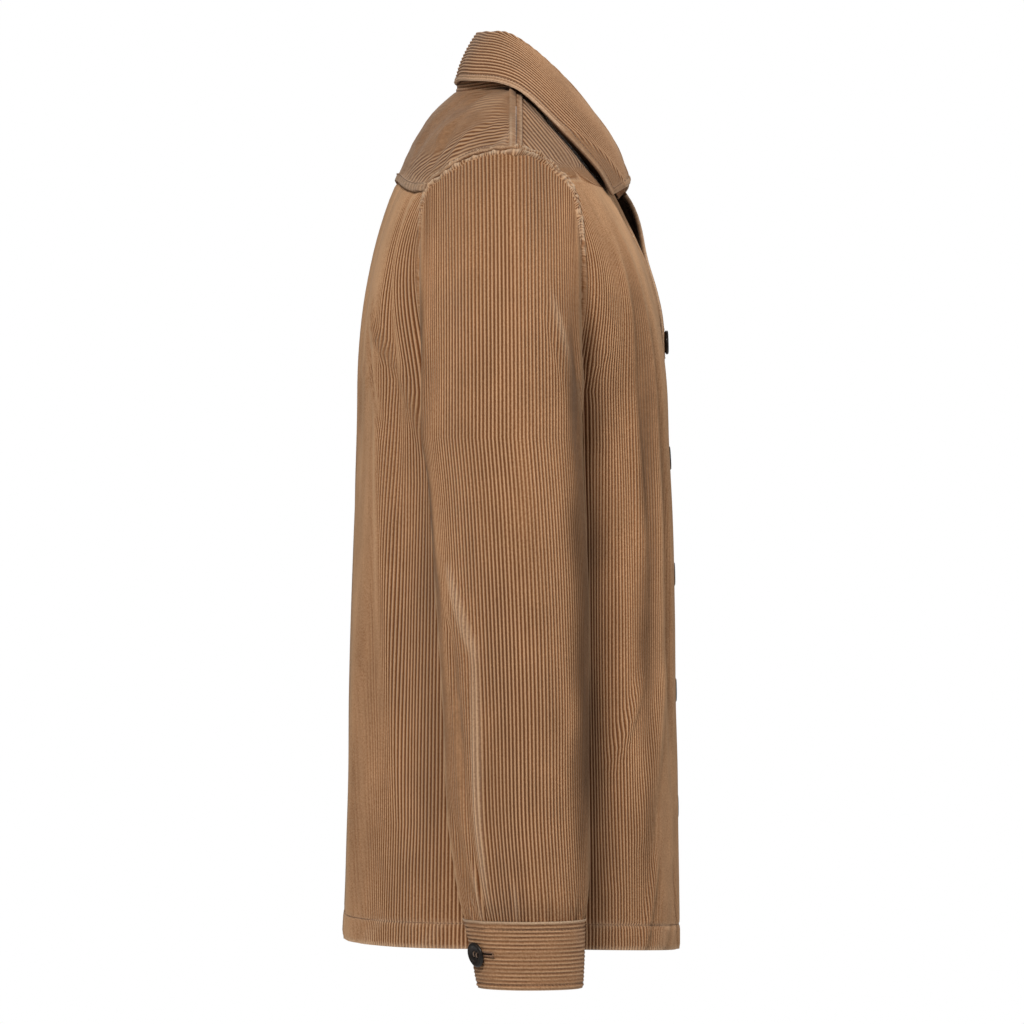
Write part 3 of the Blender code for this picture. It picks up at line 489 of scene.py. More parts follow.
# Tones of the painted sheen; then the colours of the cloth's back, which are also those of its painted shade.
PAINTED_SHEEN_STOPS = ((0.32, 0.62), (0.50, 1.0), (0.68, 1.42))
INSIDE_AND_SHADE_COLOURS = ((0.050, 0.022, 0.010), (0.095, 0.047, 0.023))
FLOOR_Z = -1.45
FLOOR_HALF = 1.6
MIDDLE = (0.0, 0.0, -0.33)
CAMERA_PLACE = (-5.0, 0.0, -0.337)
CAMERA_LENS = 214.37
LIGHTS = (
    # name, place, size, power, colour
    ("key", (-3.4, 0.50, 1.35), (0.7, 0.7), 95.0, (1.0, 0.985, 0.965)),
    ("side_front", (-0.9, -2.9, 0.3), (0.8, 2.0), 24.0, (1.0, 1.0, 1.0)),
    ("side_back", (-1.2, 2.8, 0.2), (0.8, 2.0), 5.5, (1.0, 1.0, 1.0)),
    ("far", (2.8, 0.0, 1.2), (1.6, 1.6), 36.0, (1.0, 1.0, 1.0)),
)


def mix(a, b, share):
    return a + (b - a) * share


def smooth(value):
    value = np.clip(value, 0.0, 1.0)
    return value * value * (3.0 - 2.0 * value)


def bell(distance, half_width):
    """1 at no distance, 0 from half_width on."""
    return 0.5 + 0.5 * np.cos(np.pi * np.clip(np.abs(distance) / half_width, 0.0, 1.0))


def near_side(distance, width, fade):
    """1 as far as a width, falling to 0 over a fade."""
    return 1 - smooth((distance - width) / fade)


def points(x, y, z):
    return np.stack(np.broadcast_arrays(x, y, z), axis=-1).astype(float)


def unit(vectors):
    return vectors / np.maximum(np.linalg.norm(vectors, axis=-1, keepdims=True), 1e-12)


def dot(a, b):
    return (a * b).sum(axis=-1, keepdims=True)


def find_root(function, low, high):
    """The place between low and high where a function that falls from above zero crosses it."""
    low, high = np.asarray(low, float), np.asarray(high, float)
    for _ in range(40):
        middle = (low + high) / 2
        above = function(middle) > 0
        low, high = np.where(above, middle, low), np.where(above, high, middle)
    return (low + high) / 2


def curve(t, start, lead, end, fall):
    """A smooth curve from a start at t 0 to an end at t 1, that leaves along lead and arrives along fall."""
    return (
        start * (2 * t**3 - 3 * t**2 + 1)
        + lead * (t**3 - 2 * t**2 + t)
        + end * (3 * t**2 - 2 * t**3)
        + fall * (t**3 - t**2)
    )


def run_length(place, axis=0):
    """Length along lines of points that run along an axis, from 0 at their start."""
    steps = np.linalg.norm(np.diff(place, axis=axis), axis=-1)
    return np.concatenate([np.zeros_like(steps.take([0], axis)), np.cumsum(steps, axis=axis)], axis=axis)


def read_table(table, key):
    """Columns of a table at keys between its rows, on smooth curves through them."""
    rows = np.array(sorted(table), float)
    keys = rows[:, 0]
    key = np.clip(key, keys[0], keys[-1])
    k = np.clip(np.searchsorted(keys, key) - 1, 0, len(rows) - 2)
    p1, p2 = rows[k], rows[k + 1]
    p0, p3 = rows[np.maximum(k - 1, 0)], rows[np.minimum(k + 2, len(rows) - 1)]
    span = (p2 - p1)[..., :1]
    t = (np.asarray(key)[..., None] - p1[..., :1]) / span
    slope_1 = (p2 - p0) / (p2 - p0)[..., :1] * span
    slope_2 = (p3 - p1) / (p3 - p1)[..., :1] * span
    return np.moveaxis(curve(t, p1, slope_1, p2, slope_2)[..., 1:], -1, 0)


def noise(u, v, seed):
    """Smooth noise from -1 to 1, one bump to a unit of u and v."""
    cells = 64
    grid = np.random.default_rng(seed).uniform(-1.0, 1.0, (cells, cells))
    u, v = np.broadcast_arrays(u, v)
    iu, iv = np.floor(u).astype(int), np.floor(v).astype(int)
    fu, fv = smooth(u - iu), smooth(v - iv)
    low = mix(grid[iu % cells, iv % cells], grid[(iu + 1) % cells, iv % cells], fu)
    high = mix(grid[iu % cells, (iv + 1) % cells], grid[(iu + 1) % cells, (iv + 1) % cells], fu)
    return mix(low, high, fv)


# ---- The body's surface ----

def arc_table(steps=2000):
    """Share of the way round a quarter of the chest section, and the share of its half width there."""
    _, half_width, back, _ = BODY_SECTIONS[2]
    angle = np.pi / 2 * np.arange(steps + 1) / steps
    x = half_width * np.sin(angle) ** (2 / CHEST_POWER)
    y = back * np.maximum(0.0, np.cos(angle)) ** (2 / CHEST_POWER)
    length = np.concatenate([[0.0], np.cumsum(np.hypot(np.diff(x), np.diff(y)))])
    return length / length[-1], x / half_width


ARC = arc_table()


def shoulder_z(x):
    return SHOULDER_PEAK - SHOULDER_SLOPE * (np.hypot(x, SHOULDER_ROUND) - SHOULDER_ROUND)


def shoulder_weight(z):
    """0 on the chest and below, 1 at the shoulder."""
    return smooth((z - CHEST_Z) / (SHOULDER_Z - CHEST_Z))


def front_dip(x, z):
    """Depth of the shallow trough down the fronts, in which the placket lies."""
    across = (np.abs(x) - PLACKET_FLAT) / (PLACKET_DIP_HALF - PLACKET_FLAT)
    return PLACKET_DIP * (1 - smooth(across)) * smooth((PLACKET_DIP_Z - z) / PLACKET_DIP_FADE)


def body_y(side, x, z):
    """y of the body's surface, at the back or the front."""
    half_width, back, front = read_table(BODY_SECTIONS, z)
    depth = back if side == BACK else front
    power = mix(CHEST_POWER, SHOULDER_POWER, shoulder_weight(z))
    across = np.minimum(1.0, np.abs(x) / half_width)
    drop, drop_change, round_power = ROUNDING[side]
    fall = np.clip((shoulder_z(x) - z) / (drop - drop_change * x * x), 0.0, 1.0)
    rounding = (1 - (1 - fall) ** 2) ** round_power
    dip = front_dip(x, z) if side == FRONT else 0.0
    return SIDE_Y + side * (SEAM / 2 + depth * (1 - across**power) ** (1 / power) * rounding - dip)


def column_x(share, z):
    """x of the column that is a share of the way round; a share below 0 is on the right."""
    half_width = read_table(BODY_SECTIONS, z)[0]
    chest = np.interp(np.abs(share), *ARC)
    shoulder = np.minimum(1.0, np.abs(share) * QUARTER * COLUMN_EASE / BODY_SECTIONS[0][1])
    return np.copysign(half_width * mix(chest, shoulder, shoulder_weight(z)), share)


def body_point(side, share, z):
    x = column_x(share, z)
    z = np.minimum(z, shoulder_z(x))
    return points(x, body_y(side, x, z), z)


def body_normal(side, share, z):
    step_share, step_z = 0.004, 0.0012
    inner = np.clip(share - step_share, -1.0, 1.0)
    outer = np.clip(share + step_share, -1.0, 1.0)
    along = body_point(side, outer, z) - body_point(side, inner, z)
    down = body_point(side, share, z - step_z) - body_point(side, share, z + step_z)
    normal = np.cross(along, down) * side
    on_edge = (np.abs(share) >= 1.0) | (z >= shoulder_z(column_x(share, z)) - 0.0001)
    normal[..., 1] = np.where(on_edge, 0.0, normal[..., 1])
    return unit(normal)


def fold_sum(folds, scale, column, z):
    """Height of all folds at columns and heights; scale turns a column into metres."""
    total = 0.0
    for column_1, z_1, column_2, z_2, half_width, height in folds:
        line = np.array([(column_2 - column_1) * scale, z_2 - z_1])
        length = np.hypot(*line)
        line = line / length
        across = (column - (column_1 + column_2) / 2) * scale
        up = z - (z_1 + z_2) / 2
        reach = np.clip(0.5 + (line[0] * across + line[1] * up) / (length * 1.1), 0.0, 1.0)
        total = total + height * bell(line[0] * up - line[1] * across, half_width) * np.sin(
            np.pi * reach
        ) ** 0.7
    return total


def on_side(table, side):
    """The rows of a table that are for one side of the body, without their first value."""
    return [row[1:] for row in table if row[0] == side]


def zone_mask(zones, scale, column, z, seed):
    """How strong a table's zones are, 0 to 1, with uneven edges; the zones hold painted sheen and painted
    shade.
    """
    drift = 0.006 * noise(z / 0.045, column * scale / 0.03, seed)
    smoothness = fold_sum(zones, scale, column + drift / scale, z)
    return np.clip(smoothness * (0.85 + 0.35 * noise(column * scale / 0.02, z / 0.05, seed + 1)), 0.0, 1.0)


# ---- Seam lines on the body ----

def armhole_yz(angle):
    """The armhole's place, seen from the side."""
    y = ARMHOLE_Y + ARMHOLE_HALF * np.cos(np.radians(angle))
    return y, read_table(ARMHOLE_HEIGHTS, np.mod(angle, 360.0))[0]


def column_at(x, z):
    """Share of the way round at a distance x."""
    x, z = np.broadcast_arrays(np.asarray(x, float), np.asarray(z, float))
    zero = np.zeros(x.shape)
    return find_root(lambda share: x - column_x(share, z), zero, zero + 1.0)


def armhole_edge(side, angle):
    """Column and height of the armhole's edge at its angles, on one side of the body."""
    y, z = armhole_yz(angle)
    half_width = read_table(BODY_SECTIONS, z)[0]
    depth = np.abs(y - SIDE_Y)
    x = find_root(lambda x: np.abs(body_y(side, x, z) - SIDE_Y) - depth, 0.5 * half_width, half_width)
    on_line = depth < 0.001
    on_top = z > ARMHOLE_HEIGHTS[0][1]
    x_top = find_root(lambda x: shoulder_z(x) - z, np.full(z.shape, 0.1), np.full(z.shape, 0.3))
    share = column_at(np.where(on_line & on_top, x_top, x), z)
    return np.where(on_line & ~on_top, 1.0, share), z


def armhole_point(angle):
    """Points and normals of the left armhole's edge."""
    y, _ = armhole_yz(angle)
    place, normal = [], []
    for side in (BACK, FRONT):
        share, z = armhole_edge(side, angle)
        place.append(body_point(side, share, z))
        normal.append(body_normal(side, share, z))
    behind = (y > SIDE_Y)[..., None]
    return np.where(behind, place[0], place[1]), np.where(behind, normal[0], normal[1])


def neck_place(angle):
    """x and height of the neckline at angles round the neck; it is an ellipse from above."""
    turn = np.radians(np.abs(angle))
    x = NECK_X * np.sin(turn)
    top = shoulder_z(x)
    falls = []
    for side, reach in ((BACK, NECK_BACK), (FRONT, NECK_FRONT)):
        depth = reach * np.abs(np.cos(turn))
        zero = np.zeros(x.shape)
        falls.append(find_root(
            lambda f: depth - np.abs(body_y(side, x, top - f) - SIDE_Y), zero, zero + 0.15
        ))
    fall = np.where(np.abs(angle) <= 90.0, falls[0], falls[1])
    return x, top - np.where(np.abs(angle) == 90.0, 0.0, fall)


def top_line(side, share):
    """Height of a panel's top at columns: the neckline, then the shoulder seam."""
    angle = np.linspace(0.0, 90.0, 361) if side == BACK else np.linspace(180.0, 90.0, 361)
    neck_x, neck_z = neck_place(angle)
    share = np.abs(share)
    z = np.zeros(share.shape)
    for _ in range(12):
        x = column_x(share, z)
        z = np.where(x < NECK_X, np.interp(x, neck_x, neck_z), shoulder_z(x))
    return z


def hem_height(side, share):
    """The hem hangs a little lower in front than at the back, and rises to the side seams."""
    return HEM_Z + mix(HEM_TILT[side], HEM_RISE, smooth(np.abs(share)))


def yoke_height(share):
    """Height of the yoke's lower edge, which rises to the armholes."""
    edge_share, edge_z = armhole_edge(BACK, np.array([YOKE_ANGLE]))
    return mix(YOKE_Z, edge_z[0], smooth(np.abs(share) / edge_share[0]))


def opening_shift(z):
    """How far the front edges are parted above the first button."""
    return OPEN_SHIFT * smooth((z - OPEN_END_Z) / (OPEN_TOP_Z - OPEN_END_Z))


def front_lift(hand, share, z):
    """Lift of a front off the body's surface: the left laps over, and both part at the throat."""
    lap = LEFT_LAP if hand == LEFT else 0.0
    flare = LEFT_FLARE if hand == LEFT else RIGHT_FLARE
    distance = np.where(share * hand > 0, np.abs(share) * QUARTER, 0.0)
    near = 1 - smooth((distance - opening_shift(z) - BAND_EDGE) / LAP_REACH)
    lapped = smooth((LAP_END_Z - z) / LAP_FADE)
    flared = 1 - smooth(np.abs(z - FLARE_Z) / FLARE_HALF)
    return near * (lap * lapped + flare * flared)


# ---- Shells ----

class Shell:
    """A closed thin shell, gathered from grids of points that are then joined where they meet."""

    def __init__(self):
        self.places, self.cloth, self.look = [], [], []
        self.quads, self.strips = [], []
        self.count = 0

    def grid(self, place, wale=0.0, along=0.0, inside=0.0, contrast=0.0, wear=0.0, shade=0.0):
        """Adds a grid of points with what the material reads there, and returns their numbers."""
        rows, columns = place.shape[:2]
        self.places.append(place.reshape(-1, 3))
        for store, values in ((self.cloth, (wale, along, inside)), (self.look, (contrast, wear, shade))):
            store.append(np.stack(
                [np.broadcast_to(v, (rows, columns)).reshape(-1) for v in values], axis=-1
            ).astype(np.float32))
        index = np.arange(rows * columns).reshape(rows, columns) + self.count
        self.count += rows * columns
        return index

    def skin(self, index):
        self.quads.append(np.stack(
            [index[:-1, :-1], index[:-1, 1:], index[1:, 1:], index[1:, :-1]], axis=-1
        ).reshape(-1, 4))

    def rim(self, fine, coarse, picks):
        """Closes between a line of the outer grid and the inner one; picks are the shared places."""
        for k in range(len(picks) - 1):
            edge = list(fine[picks[k]:picks[k + 1] + 1])
            self.strips.append(edge + [coarse[k + 1], coarse[k]])

    def mesh(self, name):
        place = np.concatenate(self.places)
        _, first, same = np.unique(
            np.round(place * 2e6).astype(np.int64), axis=0, return_index=True, return_inverse=True
        )
        same = same.reshape(-1)
        quads = same[np.concatenate(self.quads)]
        ordered = np.sort(quads, axis=1)
        whole = (np.diff(ordered, axis=1) > 0).all(axis=1)
        faces = quads[whole].tolist()
        for face in quads[~whole].tolist() + [same[strip].tolist() for strip in self.strips]:
            face = [v for k, v in enumerate(face) if v != face[k - 1]]
            if len(set(face)) == len(face) > 2:
                faces.append(face)
        mesh = bpy.data.meshes.new(name)
        mesh.from_pydata(place[first].tolist(), [], faces)
        for attribute, values in (("cloth", self.cloth), ("look", self.look)):
            layer = mesh.attributes.new(attribute, "FLOAT_VECTOR", "POINT")
            layer.data.foreach_set("vector", np.concatenate(values)[first].reshape(-1))
        form = bmesh.new()
        form.from_mesh(mesh)
        bmesh.ops.recalc_face_normals(form, faces=form.faces)
        form.to_mesh(mesh)
        form.free()
        mesh.shade_smooth()
        mesh.set_sharp_from_angle(angle=math.radians(60))
        return mesh


def cord_height(wale, flat):
    """How far the cords stand out or lie back at places counted in wales, less where they are flattened."""
    place, height = zip(*WALE_OUTLINE)
    return WALE_HEIGHT * (np.interp(np.mod(wale, 1.0), place, height) - WALE_LEVEL) * flat


def wale_columns(first, last, width, keep=()):
    """Places from first to last, several to each wale of a width, and the picks for the inner face."""
    starts = np.arange(math.floor(first / width), math.ceil(last / width) + 1)
    steps = np.array([place for place, _ in WALE_OUTLINE[:-1]])
    wales = (starts[:, None] + steps).reshape(-1) * width
    fixed = np.array([first, last, *keep])
    gap = width * COLUMN_GAP
    wales = wales[(wales > first + gap) & (wales < last - gap)]
    for place in keep:
        wales = wales[np.abs(wales - place) > gap]
    places = np.sort(np.concatenate([wales, fixed]))
    valleys = np.abs(places / width - np.round(places / width)) < 1e-6
    return places, np.where(valleys | np.isin(places, fixed))[0]


def closed(columns):
    """The rims of a piece that is one grid of so many columns, closed all round."""
    ends = [(0, columns - 1)]
    return {"left": 1, "right": 1, "bottom": ends, "top": ends}


def add_cloth(shell, outer, normal, wall, picks, rims, **read):
    """Adds an outer grid with its inner one below it; rims says which of the sides are closed there."""
    top = shell.grid(outer, **read)
    low = shell.grid(outer[:, picks] - normal[:, picks] * wall[:, picks, None], inside=1.0,
                     along=np.asarray(read["along"])[:, picks], wale=np.asarray(read["wale"])[:, picks])
    shell.skin(top)
    shell.skin(low)
    rows = np.arange(len(outer))
    if "left" in rims:
        shell.rim(top[:, 0], low[:, 0], rows)
    if "right" in rims:
        shell.rim(top[:, -1], low[:, -1], rows)
    for word, row in (("bottom", 0), ("top", -1)):
        for first, last in rims.get(word, ()):
            inside = np.where((picks >= first) & (picks <= last))[0]
            shell.rim(top[row], low[row, inside], picks[inside])


def add_object(name, data):
    item = bpy.data.objects.new(name, data)
    bpy.context.scene.collection.objects.link(item)
    return item


def mesh_of(form, name):
    """A bmesh as a mesh."""
    mesh = bpy.data.meshes.new(name)
    form.to_mesh(mesh)
    form.free()
    return mesh


def new_piece(name, mesh, material, slot, *replaced):
    """A piece of the visual model on the part's one body, in place of the nodes it replaces."""
    piece = add_object(name, mesh)
    if material:
        mesh.materials.append(material)
    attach(piece, "root")
    if replaced:
        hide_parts(*replaced)
    return piece


def cloth_piece(shell, name, material, slot="corduroy"):
    """A shell as the piece that stands for a node."""
    return new_piece(f"{name}_cloth", shell.mesh(f"{name}_cloth"), material, slot, name)


# ---- Relief of the cloth ----

def seam_band(distance):
    """A felled armhole seam: raised from its edge to its topstitching; lift, flattening and wear."""
    raised = near_side(distance, ARMHOLE_STITCH, 0.0015)
    stitch = bell(distance - ARMHOLE_STITCH, 0.0016)
    return 0.0005 * raised - 0.0007 * stitch, 1 - 0.5 * raised, 0.25 * raised + 0.3 * stitch


def hem_relief(above, along, seed):
    """The turned hem, by height above the hem's edge: it ropes slightly, and is stitched at its top."""
    turned = near_side(above, HEM_DEPTH, 0.003)
    stitch = bell(above - HEM_DEPTH, 0.0024)
    twist = noise(along / 0.012 + above / 0.014, above / 0.04, seed)
    edge = bell(above, 0.0045)
    lift = turned * (0.0004 + 0.0006 * twist) - 0.0009 * stitch - 0.0006 * edge
    wear = 0.5 * edge + 0.3 * stitch + 0.2 * turned * np.maximum(twist, 0)
    return lift, 1 - 0.4 * stitch, wear


def creases(across, z, seed):
    """Faint uneven creases, mostly upright."""
    drift = 0.4 * noise(z / 0.12, 0.0, seed + 2)
    tall = noise(across / 0.036 + drift, z / 0.21, seed)
    small = noise(across / 0.017 + drift, z / 0.060, seed + 1)
    return CREASE * (tall + 0.35 * small)


def cord_patches(across, z, seed):
    """How crisp the cords are from place to place."""
    crisp = noise(across / 0.028, z / 0.11, seed) + 0.6 * noise(across / 0.011, z / 0.05, seed + 1)
    return np.clip(0.90 + 0.30 * crisp, 0.35, 1.15)


def merged(*parts):
    """Several reliefs as one: lifts add up, and the flattest and the palest, by wear and painted highlight,
    win.
    """
    lift = sum(part[0] for part in parts)
    flat = np.minimum.reduce([part[1] for part in parts])
    wear = np.maximum.reduce([part[2] for part in parts])
    return lift, flat, np.clip(wear, 0.0, 1.0)


def turn_wale():
    """The number of the front's cord that lies on the shoulder line where the cords start to turn."""
    level, line = np.array(SHOULDER_LINE).T
    z = np.array([sum(TURN_Z) / 2])
    depth = np.abs(np.interp(z, level, line))
    x = find_root(lambda x: np.abs(body_y(FRONT, x, z)) - depth, 0.05 + 0 * z, 0.24 + 0 * z)
    return float(column_at(x, z)[0] * QUARTER / WALE)


TURN_WALE = turn_wale()


# ---- Body panels ----

def armhole_line(side):
    """Columns and heights of the armhole's edge on a side of the body, from the underarm up."""
    first = UNDERARM_ANGLE - 360.0 if side == BACK else UNDERARM_ANGLE
    return armhole_edge(side, np.linspace(first, TOP_ANGLE, 601))


def armhole_distance(side, share, z):
    edge_share, edge_z = armhole_line(side)
    nearest = np.full(share.shape, 1.0)
    for k in range(0, len(edge_z), 5):
        across = (np.abs(share) - edge_share[k]) * QUARTER
        nearest = np.minimum(nearest, np.hypot(across, z - edge_z[k]))
    return nearest


def heights(bottom, top, rows, low=(), high=()):
    """Heights of a grid's rows: steps up from its bottom, even rows, and steps down from its top."""
    fixed = (low[-1] if low else 0.0) + (high[0] if high else 0.0)
    ease = np.clip((top - bottom) / (2.0 * fixed + 1e-9), 0.0, 1.0)
    first = [bottom + step * ease for step in low] or [bottom + 0.0 * top]
    last = [top - step * ease for step in high] or [top + 0.0 * bottom]
    middle = [mix(first[-1], last[0], k / rows) for k in range(1, rows)]
    return np.array(first + middle + last)


def side_seam(share):
    """The side seam, topstitched on the back."""
    distance = (1 - np.abs(share)) * QUARTER
    near = bell(distance, 0.002)
    return -0.0006 * near, 1 - 0.6 * near, 0.3 * near


def under_collar(share, z):
    """1 on a front under the collar's leaf, and 0 from a few millimetres below its edge.

    It starts a little way from the shoulder, ends before the collar's point, and is widest beside the point.
    """
    angle = np.linspace(96.0, COLLAR_END, 60)
    edge = np.array([read_table(COLLAR_SECTIONS, turn)[4:6] for turn in angle])
    y = body_y(FRONT, column_x(share, z), z)
    level = np.interp(y, edge[::-1, 0], edge[::-1, 1])
    line = np.polyfit(edge[:, 0], edge[:, 1], 1)[0]
    below = (level - z) / np.hypot(1.0, line)
    near_point = smooth((-0.036 - y) / 0.030)
    reach = smooth((-0.022 - y) / 0.020) * smooth((y + 0.0790) / 0.010)
    return near_side(below, 0.0006 + 0.0024 * near_point, mix(0.0040, 0.0048, near_point)) * reach


def shoulder_cords(side, share, z):
    """Where the cords of a yoke or a front's shoulder are, counted in cords, and how plain they are."""
    x = column_x(share, z)
    y = body_y(side, x, z)
    if side == FRONT:
        level, line = np.array(SHOULDER_LINE).T
        slope = np.gradient(line, level)
        away = (np.interp(z, level, line) - y) / np.hypot(1.0, np.interp(z, level, slope))
        streak = noise(away / 0.011, z / 0.060, 77)
        return TURN_WALE - away / SHOULDER_WALE, np.clip(1.05 + 0.7 * streak, 0.30, 1.30)
    angle = np.linspace(-10.0, 130.0, 71)
    edge = np.stack(armhole_yz(angle), axis=-1)
    away = np.full(y.shape, 1.0)
    for point in edge:
        away = np.minimum(away, np.hypot(y - point[0], z - point[1]))
    patch = noise(y / 0.016 + 5.3, z / 0.014, 78)
    near = near_side(away, 0.008, 0.026)
    return away / YOKE_WALE, np.clip(1.25 * near + 0.9 * patch - 0.02, 0.0, 1.2)


def panel_relief(side, hand, share, z):
    """Lift, flattening and wear of a body panel at its columns and heights."""
    seed = 20 + 3 * hand + side
    even, plain = 1.0 + 0 * z, 0 * z
    parts = [
        hem_relief(z - hem_height(side, share), share * QUARTER, seed),
        seam_band(armhole_distance(side, share, z)),
        side_seam(share),
    ]
    if side == FRONT:
        below = shoulder_distance(FRONT, share, z)
        at_neck = smooth((np.abs(column_x(share, z)) - NECK_X) / 0.004)
        parts.append([mix(part, own, at_neck) for part, own in zip((0.0, 1.0, 0.0), shoulder_seam(below))])
        parts.append((-COLLAR_DIP * under_collar(share, z), even, plain))
        parts.append((front_lift(hand, hand * share, z), even, plain))
    else:
        under = yoke_height(share) - z
        tucked = bell(np.minimum(under, 0.0), 0.008) * bell(np.maximum(under, 0.0), 0.006)
        parts.append((-0.0014 * tucked, even, plain))
    return merged(*parts)


def panel_seed(side, hand):
    return 40 + 7 * hand + 3 * side


def cloth_height(side, hand, signed, z, relief):
    """How far a body panel's cloth stands off the body's surface, without its cords."""
    lift, flat, _ = relief
    folds = fold_sum(on_side(BODY_FOLDS + BODY_WRINKLES, side), QUARTER, signed, z)
    return folds + creases(signed * QUARTER, z, panel_seed(side, hand)) * flat + lift


def lay_panel(shell, side, hand, material, share, z, picks, rims, relief, wall=WALL, yoke=False):
    """Adds a grid of a body panel: the body's surface, its folds, creases and relief, and the cords.

    material is where the cords count from, and share where the cloth lies; they part near the throat.
    """
    seed = panel_seed(side, hand)
    signed = share * (hand or 1)
    _, flat, wear = relief
    nap_and_sheen = zone_mask(on_side(BODY_NAP_AND_SHEEN, side), QUARTER, signed, z, seed + 3)
    wale = material * QUARTER / WALE
    normal = body_normal(side, signed, z)
    high = cloth_height(side, hand, signed, z, relief)
    crisp = CONTRAST[side] * flat * (1 - 0.70 * nap_and_sheen)
    contrast = crisp * cord_patches(signed * QUARTER, z, seed + 5)
    # Painted shade in zones beside the sleeve, in folds and over the back.
    painted_shade = zone_mask(on_side(BODY_PAINTED_SHADE, side), QUARTER, signed, z, seed + 7)
    if side == FRONT:
        # Painted shadow on a front under the collar's leaf, strongest near its point, carried with the
        # painted shade.
        gap = smooth((-0.034 - body_y(side, column_x(share, z), z)) / 0.016)
        painted_shade = np.maximum(painted_shade, COLLAR_SHADE * smooth((under_collar(share, z) - 0.02) / 0.16) * gap)
    turned = 1.0 + 0 * z if yoke else smooth((z - TURN_Z[0]) / (TURN_Z[1] - TURN_Z[0]))
    turned = turned if side == FRONT or yoke else 0.0 * z
    cords = cord_height(wale, np.minimum(contrast, 1.15)) * (1 - turned)
    if turned.max() > 0:
        other, plain = shoulder_cords(side, share, z)
        clash = 4 * turned * (1 - turned) * smooth((np.abs(other - wale) - 0.6) / 1.6)
        wale = mix(wale, other, turned)
        contrast = contrast * mix(1.0, plain, turned) * (1 - clash)
        # Where the cords are faint or their ways clash, smooth pile with a painted sheen.
        nap_and_sheen = np.maximum(nap_and_sheen, np.maximum(clash, turned * np.maximum(1 - plain, 0.0) * 0.9))
    outer = body_point(side, signed, z) + normal * (high + cords)[..., None]
    add_cloth(shell, outer, normal, wall + WALE_HEIGHT * 0.4 + cords, picks, rims,
              wale=wale + PANEL_WALES * seed, along=z, inside=painted_shade, contrast=contrast, wear=wear, shade=nap_and_sheen)


def clamped(side, share, z):
    """Columns held back at the armhole's edge."""
    edge_share, edge_z = armhole_line(side)
    return np.copysign(np.minimum(np.abs(share), np.interp(z, edge_z, edge_share)), share)


def split_column(side):
    """Column of the armhole's edge at the height where the grids meet."""
    return clamped(side, np.array([2.0]), np.array([SPLIT_Z]))[0]


def low_edge(side, share):
    """Height at which a column meets the lower part of the armhole."""
    edge_share, edge_z = armhole_line(side)
    low = edge_z <= SPLIT_Z
    return np.interp(np.abs(share), edge_share[low][::-1], edge_z[low][::-1])


def upper_armhole(side):
    """The armhole's edge from its innermost point beside the shoulder up."""
    edge_share, edge_z = armhole_line(side)
    k = int(np.where(edge_z > YOKE_Z - 0.033, edge_share, 9.0).argmin())
    return edge_share[k:], edge_z[k:]


def high_edge(side, share):
    """Height at which a column meets the upper part of the armhole."""
    edge_share, edge_z = upper_armhole(side)
    return np.interp(np.abs(share), np.maximum.accumulate(edge_share), edge_z)


def innermost(side):
    """Column and height of the armhole's innermost point."""
    edge_share, edge_z = upper_armhole(side)
    return edge_share[0], edge_z[0]


def edge_at(side, angle):
    """Column of the armhole's edge at one of its angles."""
    return armhole_edge(side, np.array([angle]))[0][0]


def make_back(material):
    """The back: one grid from the hem to the split between the armholes, and one from there to the yoke."""
    yoke_edge = edge_at(BACK, YOKE_ANGLE)
    split_share = split_column(BACK)
    keep = (-split_share, -yoke_edge, yoke_edge, split_share)
    share, picks = wale_columns(-1.0, 1.0, WALE / QUARTER, keep)
    last = len(share) - 1
    inner = np.where(np.abs(share) <= split_share + 1e-9)[0]
    shell = Shell()
    split = np.where(np.abs(share) <= split_share + 1e-9, SPLIT_Z, low_edge(BACK, share))
    z = heights(hem_height(BACK, share), split, int((SPLIT_Z - HEM_Z) / ROW), HEM_ROWS)
    place = np.broadcast_to(share, z.shape)
    rims = {"left": 1, "right": 1, "bottom": [(0, last)], "top": [(0, inner[0]), (inner[-1], last)]}
    lay_panel(shell, BACK, 0, place, place, z, picks, rims, panel_relief(BACK, 0, place, z))
    tuck = 0.004 * (1 - smooth((np.abs(share) - 0.55) / 0.1))
    top = yoke_height(np.minimum(np.abs(share), yoke_edge)) + tuck
    z = heights(SPLIT_Z + 0 * share, top, int((YOKE_Z - SPLIT_Z) / ROW), (), (0.008, 0.004, 0.0))
    place = clamped(BACK, np.broadcast_to(share, z.shape), z)
    rims = {"left": 1, "right": 1, "top": [(0, last)]}
    lay_panel(shell, BACK, 0, place, place, z, picks, rims, panel_relief(BACK, 0, place, z))
    return cloth_piece(shell, "back_panel", material)


def shoulder_distance(side, share, z):
    """Distance on the cloth from the shoulder seam's line."""
    below = top_line(side, share) - z
    return np.hypot(body_y(side, column_x(share, z), z) - SIDE_Y, below)


def shoulder_seam(below):
    """Half of the felled shoulder seam: a stitched ridge on each side of its groove, by the distance."""
    strip = near_side(below, 0.0050, 0.0008)
    ridge = bell(below - 0.0040, 0.0016)
    lift = 0.0006 * strip + 0.0007 * ridge - 0.0008 * bell(below, 0.0016)
    lift = lift - 0.0005 * bell(below - 0.0062, 0.0010)
    return lift, 1 - 0.80 * strip, 0.15 * strip + 0.55 * ridge


